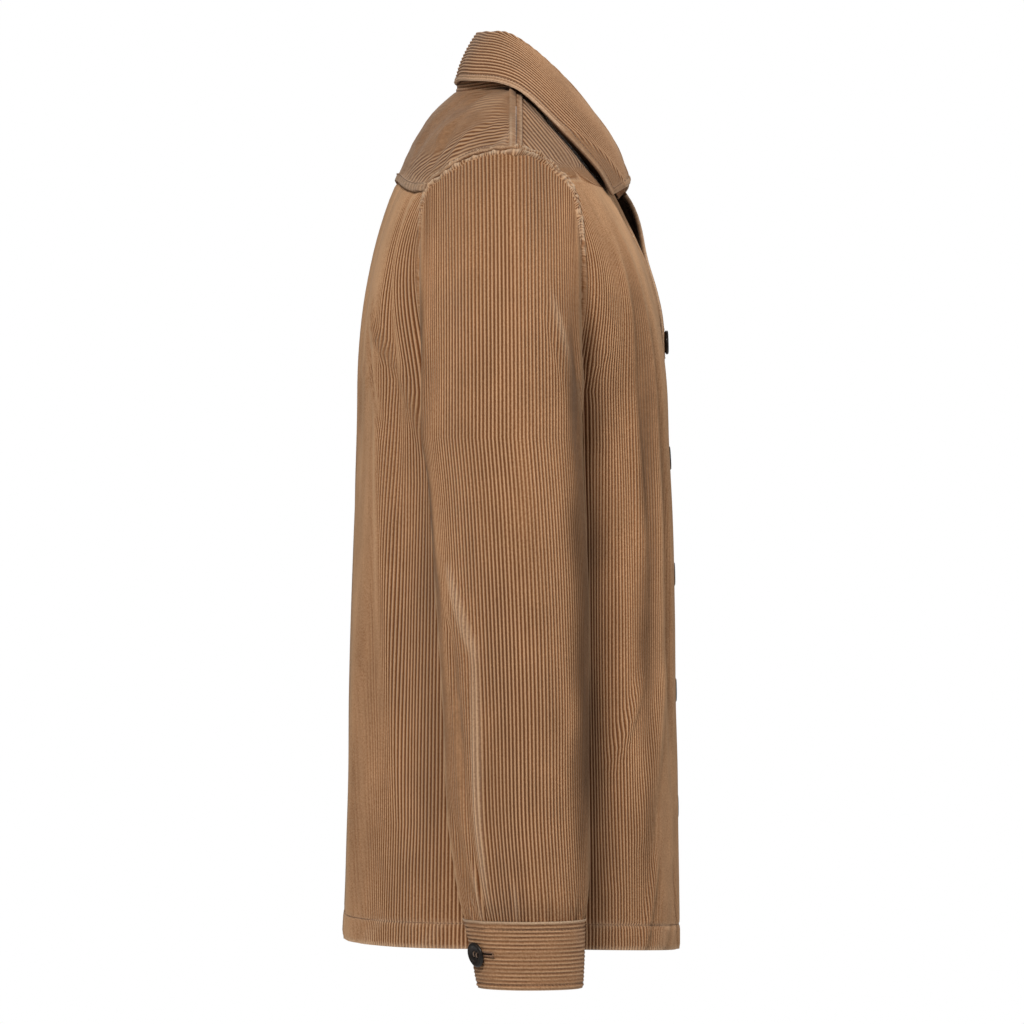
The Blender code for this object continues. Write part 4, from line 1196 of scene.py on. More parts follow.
def yoke_relief(share, z):
    """The yoke's folded, topstitched lower edge and its seams."""
    above = z - yoke_height(share)
    below = shoulder_distance(BACK, share, z)
    lip = near_side(above, 0.0064, 0.0012)
    groove = bell(above - 0.0074, 0.0012)
    pucker = bell(above - 0.006, 0.010) * noise(share * QUARTER / 0.008, above / 0.02, 71)
    y = body_y(BACK, column_x(share, z), z)
    level = np.minimum(z, 0.02)
    lean, cross = (level - y) * 0.7, (level + y) * 0.7
    wrinkle = noise(cross / 0.0075 + 0.5 * noise(lean / 0.03, 0.0, 73), lean / 0.034, 72)
    wrinkle = (wrinkle + 0.5 * noise(cross / 0.0036, lean / 0.018, 74)) * smooth((above - 0.010) / 0.008)
    edge = bell(above, 0.0011)
    stitch = bell(above - YOKE_STITCH, 0.0014)
    lift = 0.0008 + YOKE_LIFT * bell(z + 0.022, 0.040) + 0.0015 * lip - 0.0008 * groove - 0.0012 * edge
    lift = lift + 0.0004 * pucker + 0.0013 * wrinkle
    # The wrinkles' crests are paler: a painted highlight, beside the wear of the lip and its stitches.
    return merged(
        (lift, 1 - 0.7 * lip, 0.40 * lip + 0.4 * stitch + 0.30 * np.maximum(wrinkle, 0.0)),
        shoulder_seam(below),
        seam_band(armhole_distance(BACK, share, z)),
    )


def make_yoke(material):
    """The yoke: a grid from its lower edge to the armholes' innermost points, and one over the shoulders."""
    edge_share, edge_top = edge_at(BACK, YOKE_ANGLE), edge_at(BACK, TOP_ANGLE)
    inner_share, inner_z = innermost(BACK)
    half, own = wale_columns(0.0, edge_top, WALE / QUARTER, (inner_share, edge_share))
    share = np.concatenate([-half[:0:-1], half])
    picks = np.concatenate([-own[:0:-1], own]) + len(half) - 1
    last = len(share) - 1
    shell = Shell()
    across = np.abs(share)
    bottom = yoke_height(np.minimum(across, edge_share))
    step = inner_z - yoke_height(np.array([inner_share]))[0]
    middle = yoke_height(np.minimum(across, inner_share)) + step
    z = np.array([mix(bottom, middle, share) for share in np.linspace(0.0, 1.0, YOKE_LOW_ROWS)])
    place = clamped(BACK, np.broadcast_to(share, z.shape), z)
    lay_panel(shell, BACK, 0, place, place, z, picks,
              {"left": 1, "right": 1, "bottom": [(0, last)]}, yoke_relief(place, z), DOUBLED_WALL, True)
    low = np.where(across <= inner_share + 1e-9, middle, high_edge(BACK, share))
    inner = np.where(across <= inner_share + 1e-9)[0]
    z = heights(low, top_line(BACK, share), TOP_ROWS, (), YOKE_TOP_ROWS)
    place = np.broadcast_to(share, z.shape)
    lay_panel(shell, BACK, 0, place, place, z, picks,
              {"top": [(0, last)], "bottom": [(0, inner[0]), (inner[-1], last)]},
              yoke_relief(place, z), DOUBLED_WALL, True)
    return cloth_piece(shell, "yoke", material)


def front_column(z):
    """Column where a front meets its band."""
    levels = np.linspace(-0.70, 0.03, 366)
    x = BAND_EDGE + opening_shift(levels)
    return np.interp(z, levels, np.copysign(column_at(np.abs(x), levels), x))


def front_start():
    """Column where a front starts, beside its band, at the hem."""
    return front_column(np.array([HEM_Z]))[0]


def front_share(material, z):
    """Column on the body of a front's own column: near the throat the cloth is parted."""
    start = front_start()
    fade = 1 - smooth((material - start) / 0.5)
    return material + (front_column(z) - start) * fade


def front_top(material):
    z = np.zeros(material.shape)
    for _ in range(6):
        z = top_line(FRONT, front_share(material, z))
    return z


def make_front(hand, name, material):
    """A front: a grid from the hem to the split, one beside the armhole, and one up to the shoulder."""
    start = front_start()
    inner_share, inner_z = innermost(FRONT)
    split_share = split_column(FRONT)
    end_share = edge_at(FRONT, TOP_ANGLE)
    cords, picks = wale_columns(start, 1.0, WALE / QUARTER, (inner_share, split_share, end_share))
    low, out, end = (int(np.abs(cords - share).argmin()) for share in (inner_share, split_share, end_share))
    last = len(cords) - 1
    shell = Shell()

    def lay(z, rims, held=False):
        count = z.shape[1]
        own = np.broadcast_to(cords[:count], z.shape)
        place = front_share(own, z)
        if held:
            edge = clamped(FRONT, place, z)
            own, place = np.where(edge < place, edge, own), edge
        relief = panel_relief(FRONT, hand, place, z)
        lay_panel(shell, FRONT, hand, own, place, z, picks[picks < count], rims, relief)

    columns = np.arange(last + 1)
    split = np.where(columns <= out, SPLIT_Z, low_edge(FRONT, cords))
    bottom = hem_height(FRONT, front_share(cords, HEM_Z + 0 * cords))
    lay(heights(bottom, split, int((SPLIT_Z - HEM_Z) / ROW), HEM_ROWS),
        {"left": 1, "right": 1, "bottom": [(0, last)], "top": [(out, last)]})
    top = front_top(cords)
    middle = np.where(columns < low, np.minimum(inner_z, top - 0.014), inner_z)
    lay(heights(SPLIT_Z + 0 * cords, middle, ARMHOLE_ROWS), {"left": 1, "right": 1}, held=True)
    beneath = np.where(columns <= low, middle, high_edge(FRONT, cords))
    lay(heights(beneath[:end + 1], np.maximum(top, beneath)[:end + 1], TOP_ROWS, (), SHOULDER_ROWS),
        {"left": 1, "bottom": [(low, end)], "top": [(0, end)]})
    return cloth_piece(shell, name, material)


def band_relief(hand, inset, share, z):
    """Lift, flattening and wear of a doubled band: rounded edges, and a stitched line along each."""
    distance = np.minimum(inset, BAND_WIDTH - inset)
    stitch = bell(distance - BAND_STITCH, 0.0016)
    edge = bell(distance, 0.0022)
    pucker = noise(z / 0.011, inset / 0.012, 90 + hand) * bell(distance - 0.006, 0.006)
    own = (
        front_lift(hand, hand * share, z) + (PLACKET_LIFT if hand == LEFT else 0.0)
        + 0.0004 * pucker - 0.0008 * stitch - 0.0007 * edge,
        1 - 0.45 * stitch - 0.3 * edge,
        0.7 * edge + 0.3 * stitch,
    )
    return merged(own, hem_relief(z - hem_height(FRONT, share), inset, 91 + hand))


def make_band(hand, name, material):
    """A front's doubled band: the buttonhole placket on the left, the button band on the right."""
    inset, picks = wale_columns(0.0, BAND_WIDTH, WALE, (0.0049, BAND_WIDTH - 0.0049))
    z = -0.3 + 0 * inset
    for _ in range(6):
        z = top_line(FRONT, np.abs(band_share(inset, z)))
    z = heights(hem_height(FRONT, band_share(inset, HEM_Z + 0 * inset)), z, BAND_ROWS, HEM_ROWS)
    inset = np.broadcast_to(inset, z.shape)
    share = band_share(inset, z)
    shell = Shell()
    lay_panel(shell, FRONT, hand, inset / QUARTER, share, z, picks, closed(inset.shape[1]),
              band_relief(hand, inset, share, z), DOUBLED_WALL)
    return cloth_piece(shell, name, material)


def band_share(inset, z):
    """Column of a band's places, by how far they are from its seam with the front."""
    levels = np.linspace(-0.70, 0.03, 147)
    steps = np.linspace(0.0, BAND_WIDTH, 14)
    x = BAND_EDGE + opening_shift(levels)[:, None] - steps
    table = np.copysign(column_at(np.abs(x), np.broadcast_to(levels[:, None], x.shape)), x)
    row = np.clip((z - levels[0]) / (levels[1] - levels[0]), 0, len(levels) - 1.001)
    column = np.clip(inset / (steps[1] - steps[0]), 0, len(steps) - 1.001)
    r, c = row.astype(int), column.astype(int)
    near = mix(table[r, c], table[r, c + 1], column - c)
    far = mix(table[r + 1, c], table[r + 1, c + 1], column - c)
    return mix(near, far, row - r)


# ---- Sleeves ----

def ring_point(table, angle, z, offset=0.0):
    """Points of the left sleeve's or cuff's section; angle 0 is its back, 90 its outer side."""
    back, front, inner, outer = read_table(table, z)
    cosine, sine = np.cos(np.radians(angle)), np.sin(np.radians(angle))
    power = 2 / SLEEVE_POWER
    across = (outer - inner) / 2 + offset
    along = (back - front) / 2 + offset
    x = (outer + inner) / 2 + np.copysign(across * np.abs(sine) ** power, sine)
    y = (back + front) / 2 + np.copysign(along * np.abs(cosine) ** power, cosine)
    return points(x, y, z)


def ring_surface(table, angle, z, offset=None):
    """Points and outward normals of a left sleeve or cuff."""
    offset = offset or (lambda angle: 0.0)
    at = [ring_point(table, angle + turn, z + rise, offset(angle + turn))
          for turn, rise in ((0, 0), (-1.5, 0), (1.5, 0), (0, -0.002), (0, 0.002))]
    return at[0], unit(np.cross(at[2] - at[1], at[3] - at[4]))


def cap_point(angle, t, start):
    """Points of the left sleeve between the armhole (t 0) and its first full section (t 1)."""
    end = ring_point(SLEEVE_SECTIONS, angle, CAP_END)
    top = (1 + np.sin(np.radians(angle))) / 2
    lead = points(0.030 + 0.100 * top, 0.0, -(0.020 + 0.080 * top))
    fall = points(0.0, 0.0, -(0.030 + 0.220 * top))
    return curve(t[..., None], start, lead, end, fall)


def turned_angle(angle, power):
    """The angle with the powers of its cosine and sine, so that cords are even round a section."""
    whole = np.floor(np.asarray(angle, float) / 360.0) * 360.0
    cosine, sine = np.cos(np.radians(angle)), np.sin(np.radians(angle))
    cosine, sine = np.copysign(np.abs(cosine) ** power, cosine), np.copysign(np.abs(sine) ** power, sine)
    return np.degrees(np.arctan2(sine, cosine)) % 360.0 + whole


def cap_start(angle, t):
    """Where the cap's lines start on the armhole, rounded over the shoulder a little way down the cap."""
    angle = turned_angle(angle, 2 / SLEEVE_POWER)
    sharp = armhole_point(angle)[0]
    turns = np.linspace(-14.0, 14.0, 5)
    rounded = sum(armhole_point(angle + turn)[0] for turn in turns) / len(turns)
    share = smooth(t / 0.10) * bell(angle - TOP_ANGLE, 42.0)
    return mix(sharp, rounded, share[..., None])


def cap_surface(angle, t):
    """Points and outward normals of the left sleeve's cap, at every t for every angle."""
    t = t[:, None]
    before, at, after = (cap_start(angle + turn, t) for turn in (-1.5, 0.0, 1.5))
    around = cap_point(angle + 1.5, t, after) - cap_point(angle - 1.5, t, before)
    low, high = np.maximum(t - 0.01, 0.0), np.minimum(t + 0.01, 1.0)
    down = cap_point(angle, high, at) - cap_point(angle, low, at)
    return cap_point(angle, t + 0 * angle, at), unit(np.cross(around, down))


def ring_lengths(table, z):
    """Angles round a section from its outer side, and the length along it to each."""
    turn = np.linspace(-180.0, 180.0, 1441)
    place = ring_point(table, 90.0 + turn, np.full(turn.shape, z))
    length = run_length(place)
    return 90.0 + turn, length - np.interp(0.0, turn, length)


def sleeve_rows():
    """The sleeve's rows: shares of the cap, then heights below it."""
    cap = np.concatenate([[0.0, 0.008, 0.018, 0.032, 0.050, 0.072], np.linspace(0.10, 1.0, 25)])
    upper = np.linspace(CAP_END, ELBOW_END, 34)[1:]
    lower = np.linspace(ELBOW_END, SLEEVE_SECTIONS[-1][0], 16)[1:]
    return cap, np.concatenate([upper, lower, [SLEEVE_SECTIONS[-1][0] - TUCK_DEPTH]])


def sleeve_relief(hand, angle, z, seam, from_head):
    """Lift, flattening, wear and painted highlight, smooth pile and painted sheen, and painted shade of a
    sleeve, from its head down to its tucks.
    """
    seed = 130 + 10 * hand
    scale = SLEEVE_SCALE
    folds = fold_sum(SLEEVE_FOLDS, scale, angle, z) * FOLD_STRENGTH[hand]
    wrinkles = fold_sum(SLEEVE_WRINKLES, scale, angle, z) * FOLD_STRENGTH[hand]
    soft = creases(angle * scale, z, seed)
    head = bell(from_head, 0.020) * 0.0008 * noise(angle * scale / 0.008, from_head / 0.03, seed + 4)
    near = bell(seam, 0.003)
    gathers = noise(angle * scale / 0.0062, z / 0.05, seed + 9)
    gathers = gathers + 0.6 * noise(angle * scale / 0.013, z / 0.06, seed + 10)
    tucked = smooth((GATHER_Z - z) / 0.020) * 0.0011 * gathers
    lift = (folds + wrinkles + soft + head + tucked) * smooth(from_head / 0.006) * (1 - near) - 0.0006 * near
    lift = mix(lift, np.clip(lift, *TUCK_LIMITS), smooth((TUCK_Z - z) / 0.011))
    flat = (1 - near) * (1 - 0.6 * (1 - smooth(from_head / 0.004)))
    nap_and_sheen = zone_mask(SLEEVE_NAP_AND_SHEEN, scale, angle, z, seed + 6) * (1 - near)
    # Painted shade along the sleeve's front and back edges and in its folds.
    painted_shade = zone_mask(SLEEVE_PAINTED_SHADE, scale, angle, z, seed + 7)
    # The fine wrinkles' crests are paler, a painted highlight; the paler seam line is wear.
    wear = np.clip(wrinkles / 0.0016, 0.0, 1.0) * 0.35 + 0.3 * near
    flat = flat * (1 - 0.80 * nap_and_sheen) * cord_patches(angle * scale, z, seed + 8)
    return lift, flat, np.clip(wear, 0, 1), nap_and_sheen, painted_shade


def sleeve_lines(cords, front, lower):
    """Angles of the cords at heights below the cap, and how far they are from the sleeve's seam."""
    rows = []
    for z in lower:
        turn, length = ring_lengths(SLEEVE_SECTIONS, z)
        ease = np.where(cords < 0, SLEEVE_LEAN[0], SLEEVE_LEAN[1])
        own = cords * (1 - ease * (1 - length[-1] / front))
        rows.append((np.interp(own, length, turn), np.minimum(own - length[0], length[-1] - own)))
    return np.array(rows).transpose(1, 0, 2)


def make_sleeve(hand, name, material):
    """A sleeve: one grid round from its seam to its seam, from the armhole down into the cuff."""
    turn, length = ring_lengths(SLEEVE_SECTIONS, CAP_END)
    back, front = length[0], length[-1]
    cords, picks = wale_columns(back, front, WALE)
    cap, lower = sleeve_rows()
    angle = np.interp(cords, length, turn)
    place, normal = cap_surface(angle, cap)
    from_head = run_length(place)
    angles = np.broadcast_to(angle, place.shape[:2])
    seam = np.minimum(cords - back, front - cords) + 0 * angles
    along = -from_head
    lower_angle, lower_seam = sleeve_lines(cords, front, lower)
    lower_z = np.broadcast_to(lower[:, None], lower_angle.shape)
    lower_place, lower_normal = ring_surface(SLEEVE_SECTIONS, lower_angle, lower_z)
    place, normal = np.concatenate([place, lower_place]), np.concatenate([normal, lower_normal])
    angles = np.concatenate([angles, lower_angle])
    seam = np.maximum(0.0, np.concatenate([seam, lower_seam]))
    along = np.concatenate([along, along[-1] + lower_z - CAP_END])
    from_head = np.concatenate([from_head, 1.0 + 0 * lower_z])
    lift, flat, wear, nap_and_sheen, painted_shade = sleeve_relief(hand, angles, place[..., 2], seam, from_head)
    wale = np.broadcast_to(cords / WALE, angles.shape)
    tall = cord_height(wale, flat)
    outer = (place + normal * (lift + tall)[..., None]) * (hand, 1, 1)
    ends = [(0, len(cords) - 1)]
    shell = Shell()
    add_cloth(shell, outer, normal * (hand, 1, 1), WALL + 0.4 * WALE_HEIGHT + tall, picks,
              {"bottom": ends, "top": ends}, wale=wale + SLEEVE_WALES * (hand + 2), along=along, inside=painted_shade,
              contrast=1.08 * flat, wear=wear, shade=nap_and_sheen)
    return cloth_piece(shell, name, material)


def armhole_frame(angle):
    """Of the left armhole: its points, the panels' normals, and the way into the hole."""
    place, normal = armhole_point(angle)
    tangent = unit(armhole_point(angle + 1.5)[0] - armhole_point(angle - 1.5)[0])
    into = unit(np.cross(tangent, normal))
    centre = points(place[..., 0], ARMHOLE_Y, ARMHOLE_HEIGHTS[0][1])
    return place, normal, into * np.sign(dot(into, centre - place))


def seam_show(angle):
    """How plainly an armhole's seam stands out at its angles: most over the shoulder, least at the back."""
    return smooth((angle - 6.0) / 16.0) * (1 - 0.90 * smooth((angle - 160.0) / 24.0))


def make_welt(hand, name, material):
    """The puckered seam round an armhole: a raised fell on the body and the sleeve's folded edge."""
    angle = np.linspace(0.0, 360.0, 641)
    place, normal, into = armhole_frame(angle)
    length = run_length(place)
    whole = length[-1]
    seed = 160 + hand

    def rope(width, column, offset):
        """Noise along the seam that meets itself after a full turn."""
        u = length + offset
        fade = smooth((length - (whole - 0.03)) / 0.03)
        return mix(noise(u / width, column, seed), noise((u - whole) / width, column, seed), fade)

    t = np.array([0.0, 0.02])
    own = turned_angle(angle, SLEEVE_POWER / 2)
    own[-1] = own[0] + 360.0
    first = cap_surface(own, t)
    reach = 0.02 / np.linalg.norm(first[0][1] - first[0][0], axis=-1)
    rows = []
    for u, high in WELT_SECTION:
        if u <= 0:
            base, out = place + into * u, normal
        else:
            _, out = cap_surface(own, np.array([0.0, 1e-4]))
            share = np.minimum(u * reach, 0.12)
            base = cap_point(own, share, place)
            out = unit(mix(normal, out[0], min(1.0, u / 0.003)))
        twist = rope(0.0066, u / 0.008, u * 0.8) + 0.7 * rope(0.0030, u / 0.006 + 7.0, u)
        height = high * (1.15 + 0.85 * twist) * mix(0.35, 1.0, seam_show(angle)) if high > 0 else high
        rows.append(base + out * np.reshape(height, (-1, 1)))
    outer = np.array(rows) * (hand, 1, 1)
    shell = Shell()
    share, _ = armhole_edge(FRONT, angle)
    plain = seam_show(angle)
    fleck = np.clip(0.80 + 0.9 * rope(0.0023, 3.0, 0.0) + 0.5 * rope(0.011, 9.0, 0.0), 0, 1.2)
    wear = np.array([[wear] for wear in WELT_WEAR]) * fleck * plain
    slant = np.array([[1.5 * k / len(WELT_SECTION)] for k in range(len(WELT_SECTION))])
    index = shell.grid(outer, wale=length / 0.0030 + slant + 1.1 * rope(0.007, 5.0, 0.0), along=outer[..., 2],
                       contrast=1.1 * plain, wear=wear, shade=0.1)
    shell.skin(index)
    return new_piece(name, shell.mesh(name), material, "corduroy")


# ---- Cuffs ----

def cuff_offset(angle):
    """The lapped end's lower layer steps in under the upper one."""
    return -smooth((angle - 290.0) / 55.0) * CUFF_STEP_IN


def cuff_surface(angle, z):
    return ring_surface(CUFF_SECTIONS, angle, z, cuff_offset)


def cuff_relief(hand, along, depth):
    """Lift, flattening and wear of a cuff: a piped top, stitched lines, puckers, and pulls at the button."""
    whole = CUFF_SECTIONS[0][0] - CUFF_SECTIONS[-1][0]
    top, low, end = bell(depth, 0.0030), bell(whole - depth, 0.0022), bell(along, 0.0022)
    stitch = np.maximum.reduce([
        bell(depth - CUFF_TOP_STITCH, 0.0015),
        bell(whole - depth - CUFF_LOW_STITCH, 0.0015),
        bell(along - 0.0050, 0.0020),
    ])
    pucker = noise(along / 0.012, depth / 0.02, 180 + hand) * (0.3 + bell(depth - 0.008, 0.014))
    near = bell(depth - (CUFF_SECTIONS[0][0] - CUFF_BUTTON_Z), 0.010) * bell(along - 0.052, 0.022)
    pull = near * np.sin((depth - 0.026) / 0.0011 + along / 0.006)
    lift = 0.0007 * pucker - 0.0008 * stitch - 0.0006 * (low + end) + 0.0004 * pull + 0.0011 * top
    rubbed = noise(along / 0.020, depth / 0.005, 184 + hand)
    rubbed = rubbed + 0.6 * noise(along / 0.007, depth / 0.002, 186 + hand)
    flat = np.clip((0.62 + 0.35 * rubbed) * (1 - 0.4 * stitch - 0.6 * top - 0.4 * low), 0.10, 1.0)
    return lift, flat, np.clip(top + 0.6 * low + 0.5 * end + 0.25 * stitch, 0, 1)


def make_cuff(hand, name, material):
    """The doubled band; its wales run round it, so they are the grid's columns here."""
    top, bottom = CUFF_SECTIONS[0][0], CUFF_SECTIONS[-1][0]
    stitched = (CUFF_TOP_STITCH, top - bottom - CUFF_LOW_STITCH)
    depth, picks = wale_columns(0.0, top - bottom, CUFF_WALE, stitched)
    angle = CUFF_START + np.concatenate([[0.0, 0.8, 1.8, 3.2, 4.6], np.linspace(6.5, 360.0 + CUFF_LAP, 110)])
    angle, depth = np.meshgrid(angle, depth, indexing="ij")
    place, normal = cuff_surface(angle, top - depth)
    along = run_length(place)
    lift, flat, wear = cuff_relief(hand, along, depth)
    wale = depth / CUFF_WALE
    tall = cord_height(wale, flat)
    outer = (place + normal * (lift + tall)[..., None]) * (hand, 1, 1)
    shell = Shell()
    add_cloth(shell, outer, normal * (hand, 1, 1), DOUBLED_WALL + tall, picks, closed(depth.shape[1]),
              wale=wale + CUFF_WALES * (hand + 2), along=along, inside=0.07, contrast=flat,
              wear=np.maximum(wear, 0.10), shade=0.08)
    return cloth_piece(shell, name, material)


# ---- Collar ----

def collar_line(angle):
    """Fold, leaf edge and neckline at angles round the neck; below 0 is on the right."""
    values = read_table(COLLAR_SECTIONS, np.abs(angle))
    hand = np.where(angle < 0, -1.0, 1.0)
    fold = points(hand * values[0], values[1], values[2])
    edge = points(hand * values[3], values[4], values[5])
    x, z = neck_place(angle)
    y = np.where(np.abs(angle) <= 90.0, body_y(BACK, x, z), body_y(FRONT, x, z))
    return fold, edge, points(hand * x, y, z)


def collar_frame(angle):
    """Outward and upward directions of the stand at angles."""
    ahead = collar_line(np.minimum(COLLAR_END, angle + 3.0))[0]
    behind = collar_line(np.maximum(-COLLAR_END, angle - 3.0))[0]
    fold, _, neck = collar_line(angle)
    tangent = unit(ahead - behind)
    up = fold - neck
    up = unit(up - tangent * dot(up, tangent))
    outward = np.cross(up, tangent)
    away = points(fold[..., 0], fold[..., 1] + 0.03, 0.0)
    return outward * np.where(dot(outward, away) < 0, -1.0, 1.0), up


def leaf_sections(angle):
    """Points across the leaf at each angle, from its outer edge over the fold and inside the neck."""
    fold, edge, _ = collar_line(angle)
    outward, up = collar_frame(angle)
    centre = fold - up * LEAF_ROLL
    turns = np.radians(np.linspace(15.0, 180.0, 15))
    roll = [centre + (outward * math.cos(a) + up * math.sin(a)) * LEAF_ROLL for a in turns]
    start = roll[0]
    across = edge - start
    bulge = unit(np.cross(np.cross(outward, up), across))
    bulge = bulge * np.where(dot(bulge, outward) < 0, -1.0, 1.0)
    rise = mix(LEAF_BULGE_BACK, LEAF_BULGE, smooth(np.abs(angle) / 150.0))[:, None]
    flat = [start + across * s + bulge * (rise * 4 * s * (1 - s)) for s in np.linspace(1.0, 0.0, 60)]
    end = centre - outward * LEAF_ROLL - up * 0.006
    return np.stack(flat + roll[1:] + [end], axis=1)


def leaf_grid(angle):
    """The leaf's columns by their reach from its edge, their picks, and all its points with their normals.

    The last value is the length of the cloth across the leaf at each angle.
    """
    section = leaf_sections(angle)
    around, across = np.gradient(section, axis=0), np.gradient(section, axis=1)
    normal = unit(np.cross(across, around))
    outward, _ = collar_frame(angle)
    normal = normal * np.where(dot(normal[:, 30], outward) < 0, -1.0, 1.0)[:, None]
    length = run_length(section, 1)
    reach, picks = wale_columns(0.0, float(length[:, -1].max()), WALE, (LEAF_STITCH,))
    place, out = np.zeros((2, len(angle), len(reach), 3))
    for k in range(len(angle)):
        for axis in range(3):
            place[k, :, axis] = np.interp(reach, length[k], section[k, :, axis])
            out[k, :, axis] = np.interp(reach, length[k], normal[k, :, axis])
    return reach, picks, place, unit(out), length[:, -1:]


def leaf_relief(angle, inset, end):
    """Lift, flattening, wear, and smooth pile with painted sheen of the leaf, by the distances from its edge
    and its ends.
    """
    distance = np.minimum(inset, end)
    rim = bell(distance, 0.0024)
    stitch = bell(distance - LEAF_STITCH, 0.0015)
    raised = near_side(distance, 0.0045, 0.002)
    pucker = noise(end / 0.012, inset / 0.012, 202) * bell(distance - 0.004, 0.010)
    soft = noise(end / 0.035, inset / 0.03, 203)
    to_point = (np.abs(angle)[:, None] - FACET_START) / (COLLAR_END - FACET_START)
    facet = FACET_WIDTH * np.clip(to_point, 0.0, 1.0)
    nap_and_sheen = smooth((facet - inset) / 0.004) * smooth(facet / 0.004)
    lift = 0.0005 * raised - 0.0008 * stitch - 0.0008 * rim + 0.0005 * pucker + 0.0008 * soft
    lift = lift + 0.0009 * bell(inset - facet, 0.005) * smooth(facet / 0.006) - 0.0007 * nap_and_sheen
    flat = np.clip((1 - 0.45 * raised - 0.2 * stitch) * (1 - 0.7 * nap_and_sheen), 0.15, 1.0)
    return lift, flat, np.clip(0.8 * rim + 0.35 * stitch + 0.35 * raised, 0, 1), nap_and_sheen


def leaf_stitches(outer, out, reach, end):
    """Lines of topstitching along the leaf's edge, and a little way up both its ends."""
    row = int(np.abs(end[:len(end) // 2, 10] - LEAF_STITCH).argmin())
    column = int(np.abs(reach - LEAF_STITCH).argmin())
    last = int(np.abs(reach - 0.040).argmin())
    rows = np.arange(row, len(outer) - row)
    return [
        (outer[where] + out[where] * (STITCH_LIFT + 0.0002), out[where])
        for where in ((rows, column), (row, slice(column, last)), (len(outer) - 1 - row, slice(column, last)))
    ]


def make_leaf(material):
    """The collar's leaf, and the lines of its topstitching."""
    angle = np.linspace(-COLLAR_END, COLLAR_END, 131)
    near_end = np.array([0.0, 0.6, 1.4, 2.4, 3.4])
    angle = np.unique(np.concatenate([angle, COLLAR_END - near_end, near_end - COLLAR_END]).round(6))
    reach, picks, place, out, whole = leaf_grid(angle)
    inset = np.minimum(reach, whole)
    end = run_length(place)
    end = np.minimum(end, end[-1] - end)
    lift, flat, wear, nap_and_sheen = leaf_relief(angle, inset, end)
    wale = inset / WALE
    tall = cord_height(wale, flat)
    outer = place + out * (lift + tall)[..., None]
    wall = np.minimum(LEAF_WALL, 0.0012 + 0.0012 * smooth((whole - 0.020 - reach) / 0.01)) + tall
    # Painted shade on the leaf, growing from the shoulders to the collar's points.
    painted_shade = 0.22 * smooth((np.abs(angle)[:, None] - 96.0) / 30.0) + 0.0 * inset
    shell = Shell()
    add_cloth(shell, outer, out, wall, picks, closed(len(reach)), wale=wale + LEAF_WALES, along=end,
              inside=painted_shade, contrast=1.3 * flat, wear=wear, shade=0.85 * nap_and_sheen)
    piece = cloth_piece(shell, "collar_leaf", material, "collar")
    return piece, leaf_stitches(outer, out, reach, end)


def make_stand(material):
    """The collar's stand, from the neckline up to the fold."""
    angle = np.linspace(-COLLAR_END, COLLAR_END, 99)
    fold, _, neck = collar_line(angle)
    outward, up = collar_frame(angle)
    top = fold - up * (LEAF_ROLL + 0.0002) + outward * (STAND_WALL * 0.5)
    depth = float(np.linalg.norm(top - neck, axis=-1).max())
    rise, picks = wale_columns(0.0, depth, WALE)
    share = rise / depth
    place = mix(neck[:, None], top[:, None], share[None, :, None])
    bulge = STAND_BULGE * 4 * share * (1 - share)
    tall = cord_height(rise / WALE, 0.6)
    normal = np.broadcast_to(outward[:, None], place.shape)
    outer = place + normal * (bulge + tall)[None, :, None]
    along = np.broadcast_to(np.radians(angle)[:, None] * 0.065, place.shape[:2])
    wall = STAND_WALL + tall + np.zeros(place.shape[:2])
    shell = Shell()
    add_cloth(shell, outer, normal, wall, picks, closed(len(rise)),
              wale=np.broadcast_to(rise / WALE, place.shape[:2]) + STAND_WALES, along=along,
              contrast=0.8, wear=0.0, shade=0.0)
    return cloth_piece(shell, "collar_stand", material, "collar")


# ---- Buttons, buttonholes and stitches ----

def lathe(profile, sides):
    """A turned form's points and faces, from the middle of its top out and down to the middle of its back."""
    turn = 2 * np.pi * np.arange(sides) / sides
    place = [(0.0, 0.0, profile[0][1])]
    for radius, height in profile[1:-1]:
        place += [(radius * math.cos(a), radius * math.sin(a), height) for a in turn]
    place.append((0.0, 0.0, profile[-1][1]))
    faces = [(0, 1 + k, 1 + (k + 1) % sides) for k in range(sides)]
    rings = len(profile) - 2
    for ring in range(rings - 1):
        for k in range(sides):
            a, b = 1 + ring * sides + k, 1 + ring * sides + (k + 1) % sides
            faces.append((a, a + sides, b + sides, b))
    base = 1 + (rings - 1) * sides
    faces += [(len(place) - 1, base + (k + 1) % sides, base + k) for k in range(sides)]
    mesh = bpy.data.meshes.new("button")
    mesh.from_pydata(place, [], faces)
    return mesh


def button_mesh():
    """A button with a rounded rim, a dished middle and four holes."""
    profile = [(BUTTON_RADIUS * reach, BUTTON_THICKNESS * high) for reach, high in BUTTON_PROFILE]
    button = add_object("button_blank", lathe(profile, 56))
    form = bmesh.new()
    for x in (-HOLE_INSET, HOLE_INSET):
        for y in (-HOLE_INSET, HOLE_INSET):
            place = Matrix.Translation((x, y, BUTTON_THICKNESS / 2))
            bmesh.ops.create_cone(form, cap_ends=True, segments=16, radius1=HOLE_RADIUS, radius2=HOLE_RADIUS,
                                  depth=0.01, matrix=place)
    cutter = add_object("button_cutter", mesh_of(form, "button_holes"))
    cut = button.modifiers.new("cut", "BOOLEAN")
    cut.operation, cut.solver, cut.object = "DIFFERENCE", "EXACT", cutter
    graph = bpy.context.evaluated_depsgraph_get()
    mesh = bpy.data.meshes.new_from_object(button.evaluated_get(graph))
    for item in (button, cutter):
        bpy.data.objects.remove(item)
    mesh.materials.clear()
    mesh.shade_smooth()
    mesh.set_sharp_from_angle(angle=math.radians(42))
    return mesh


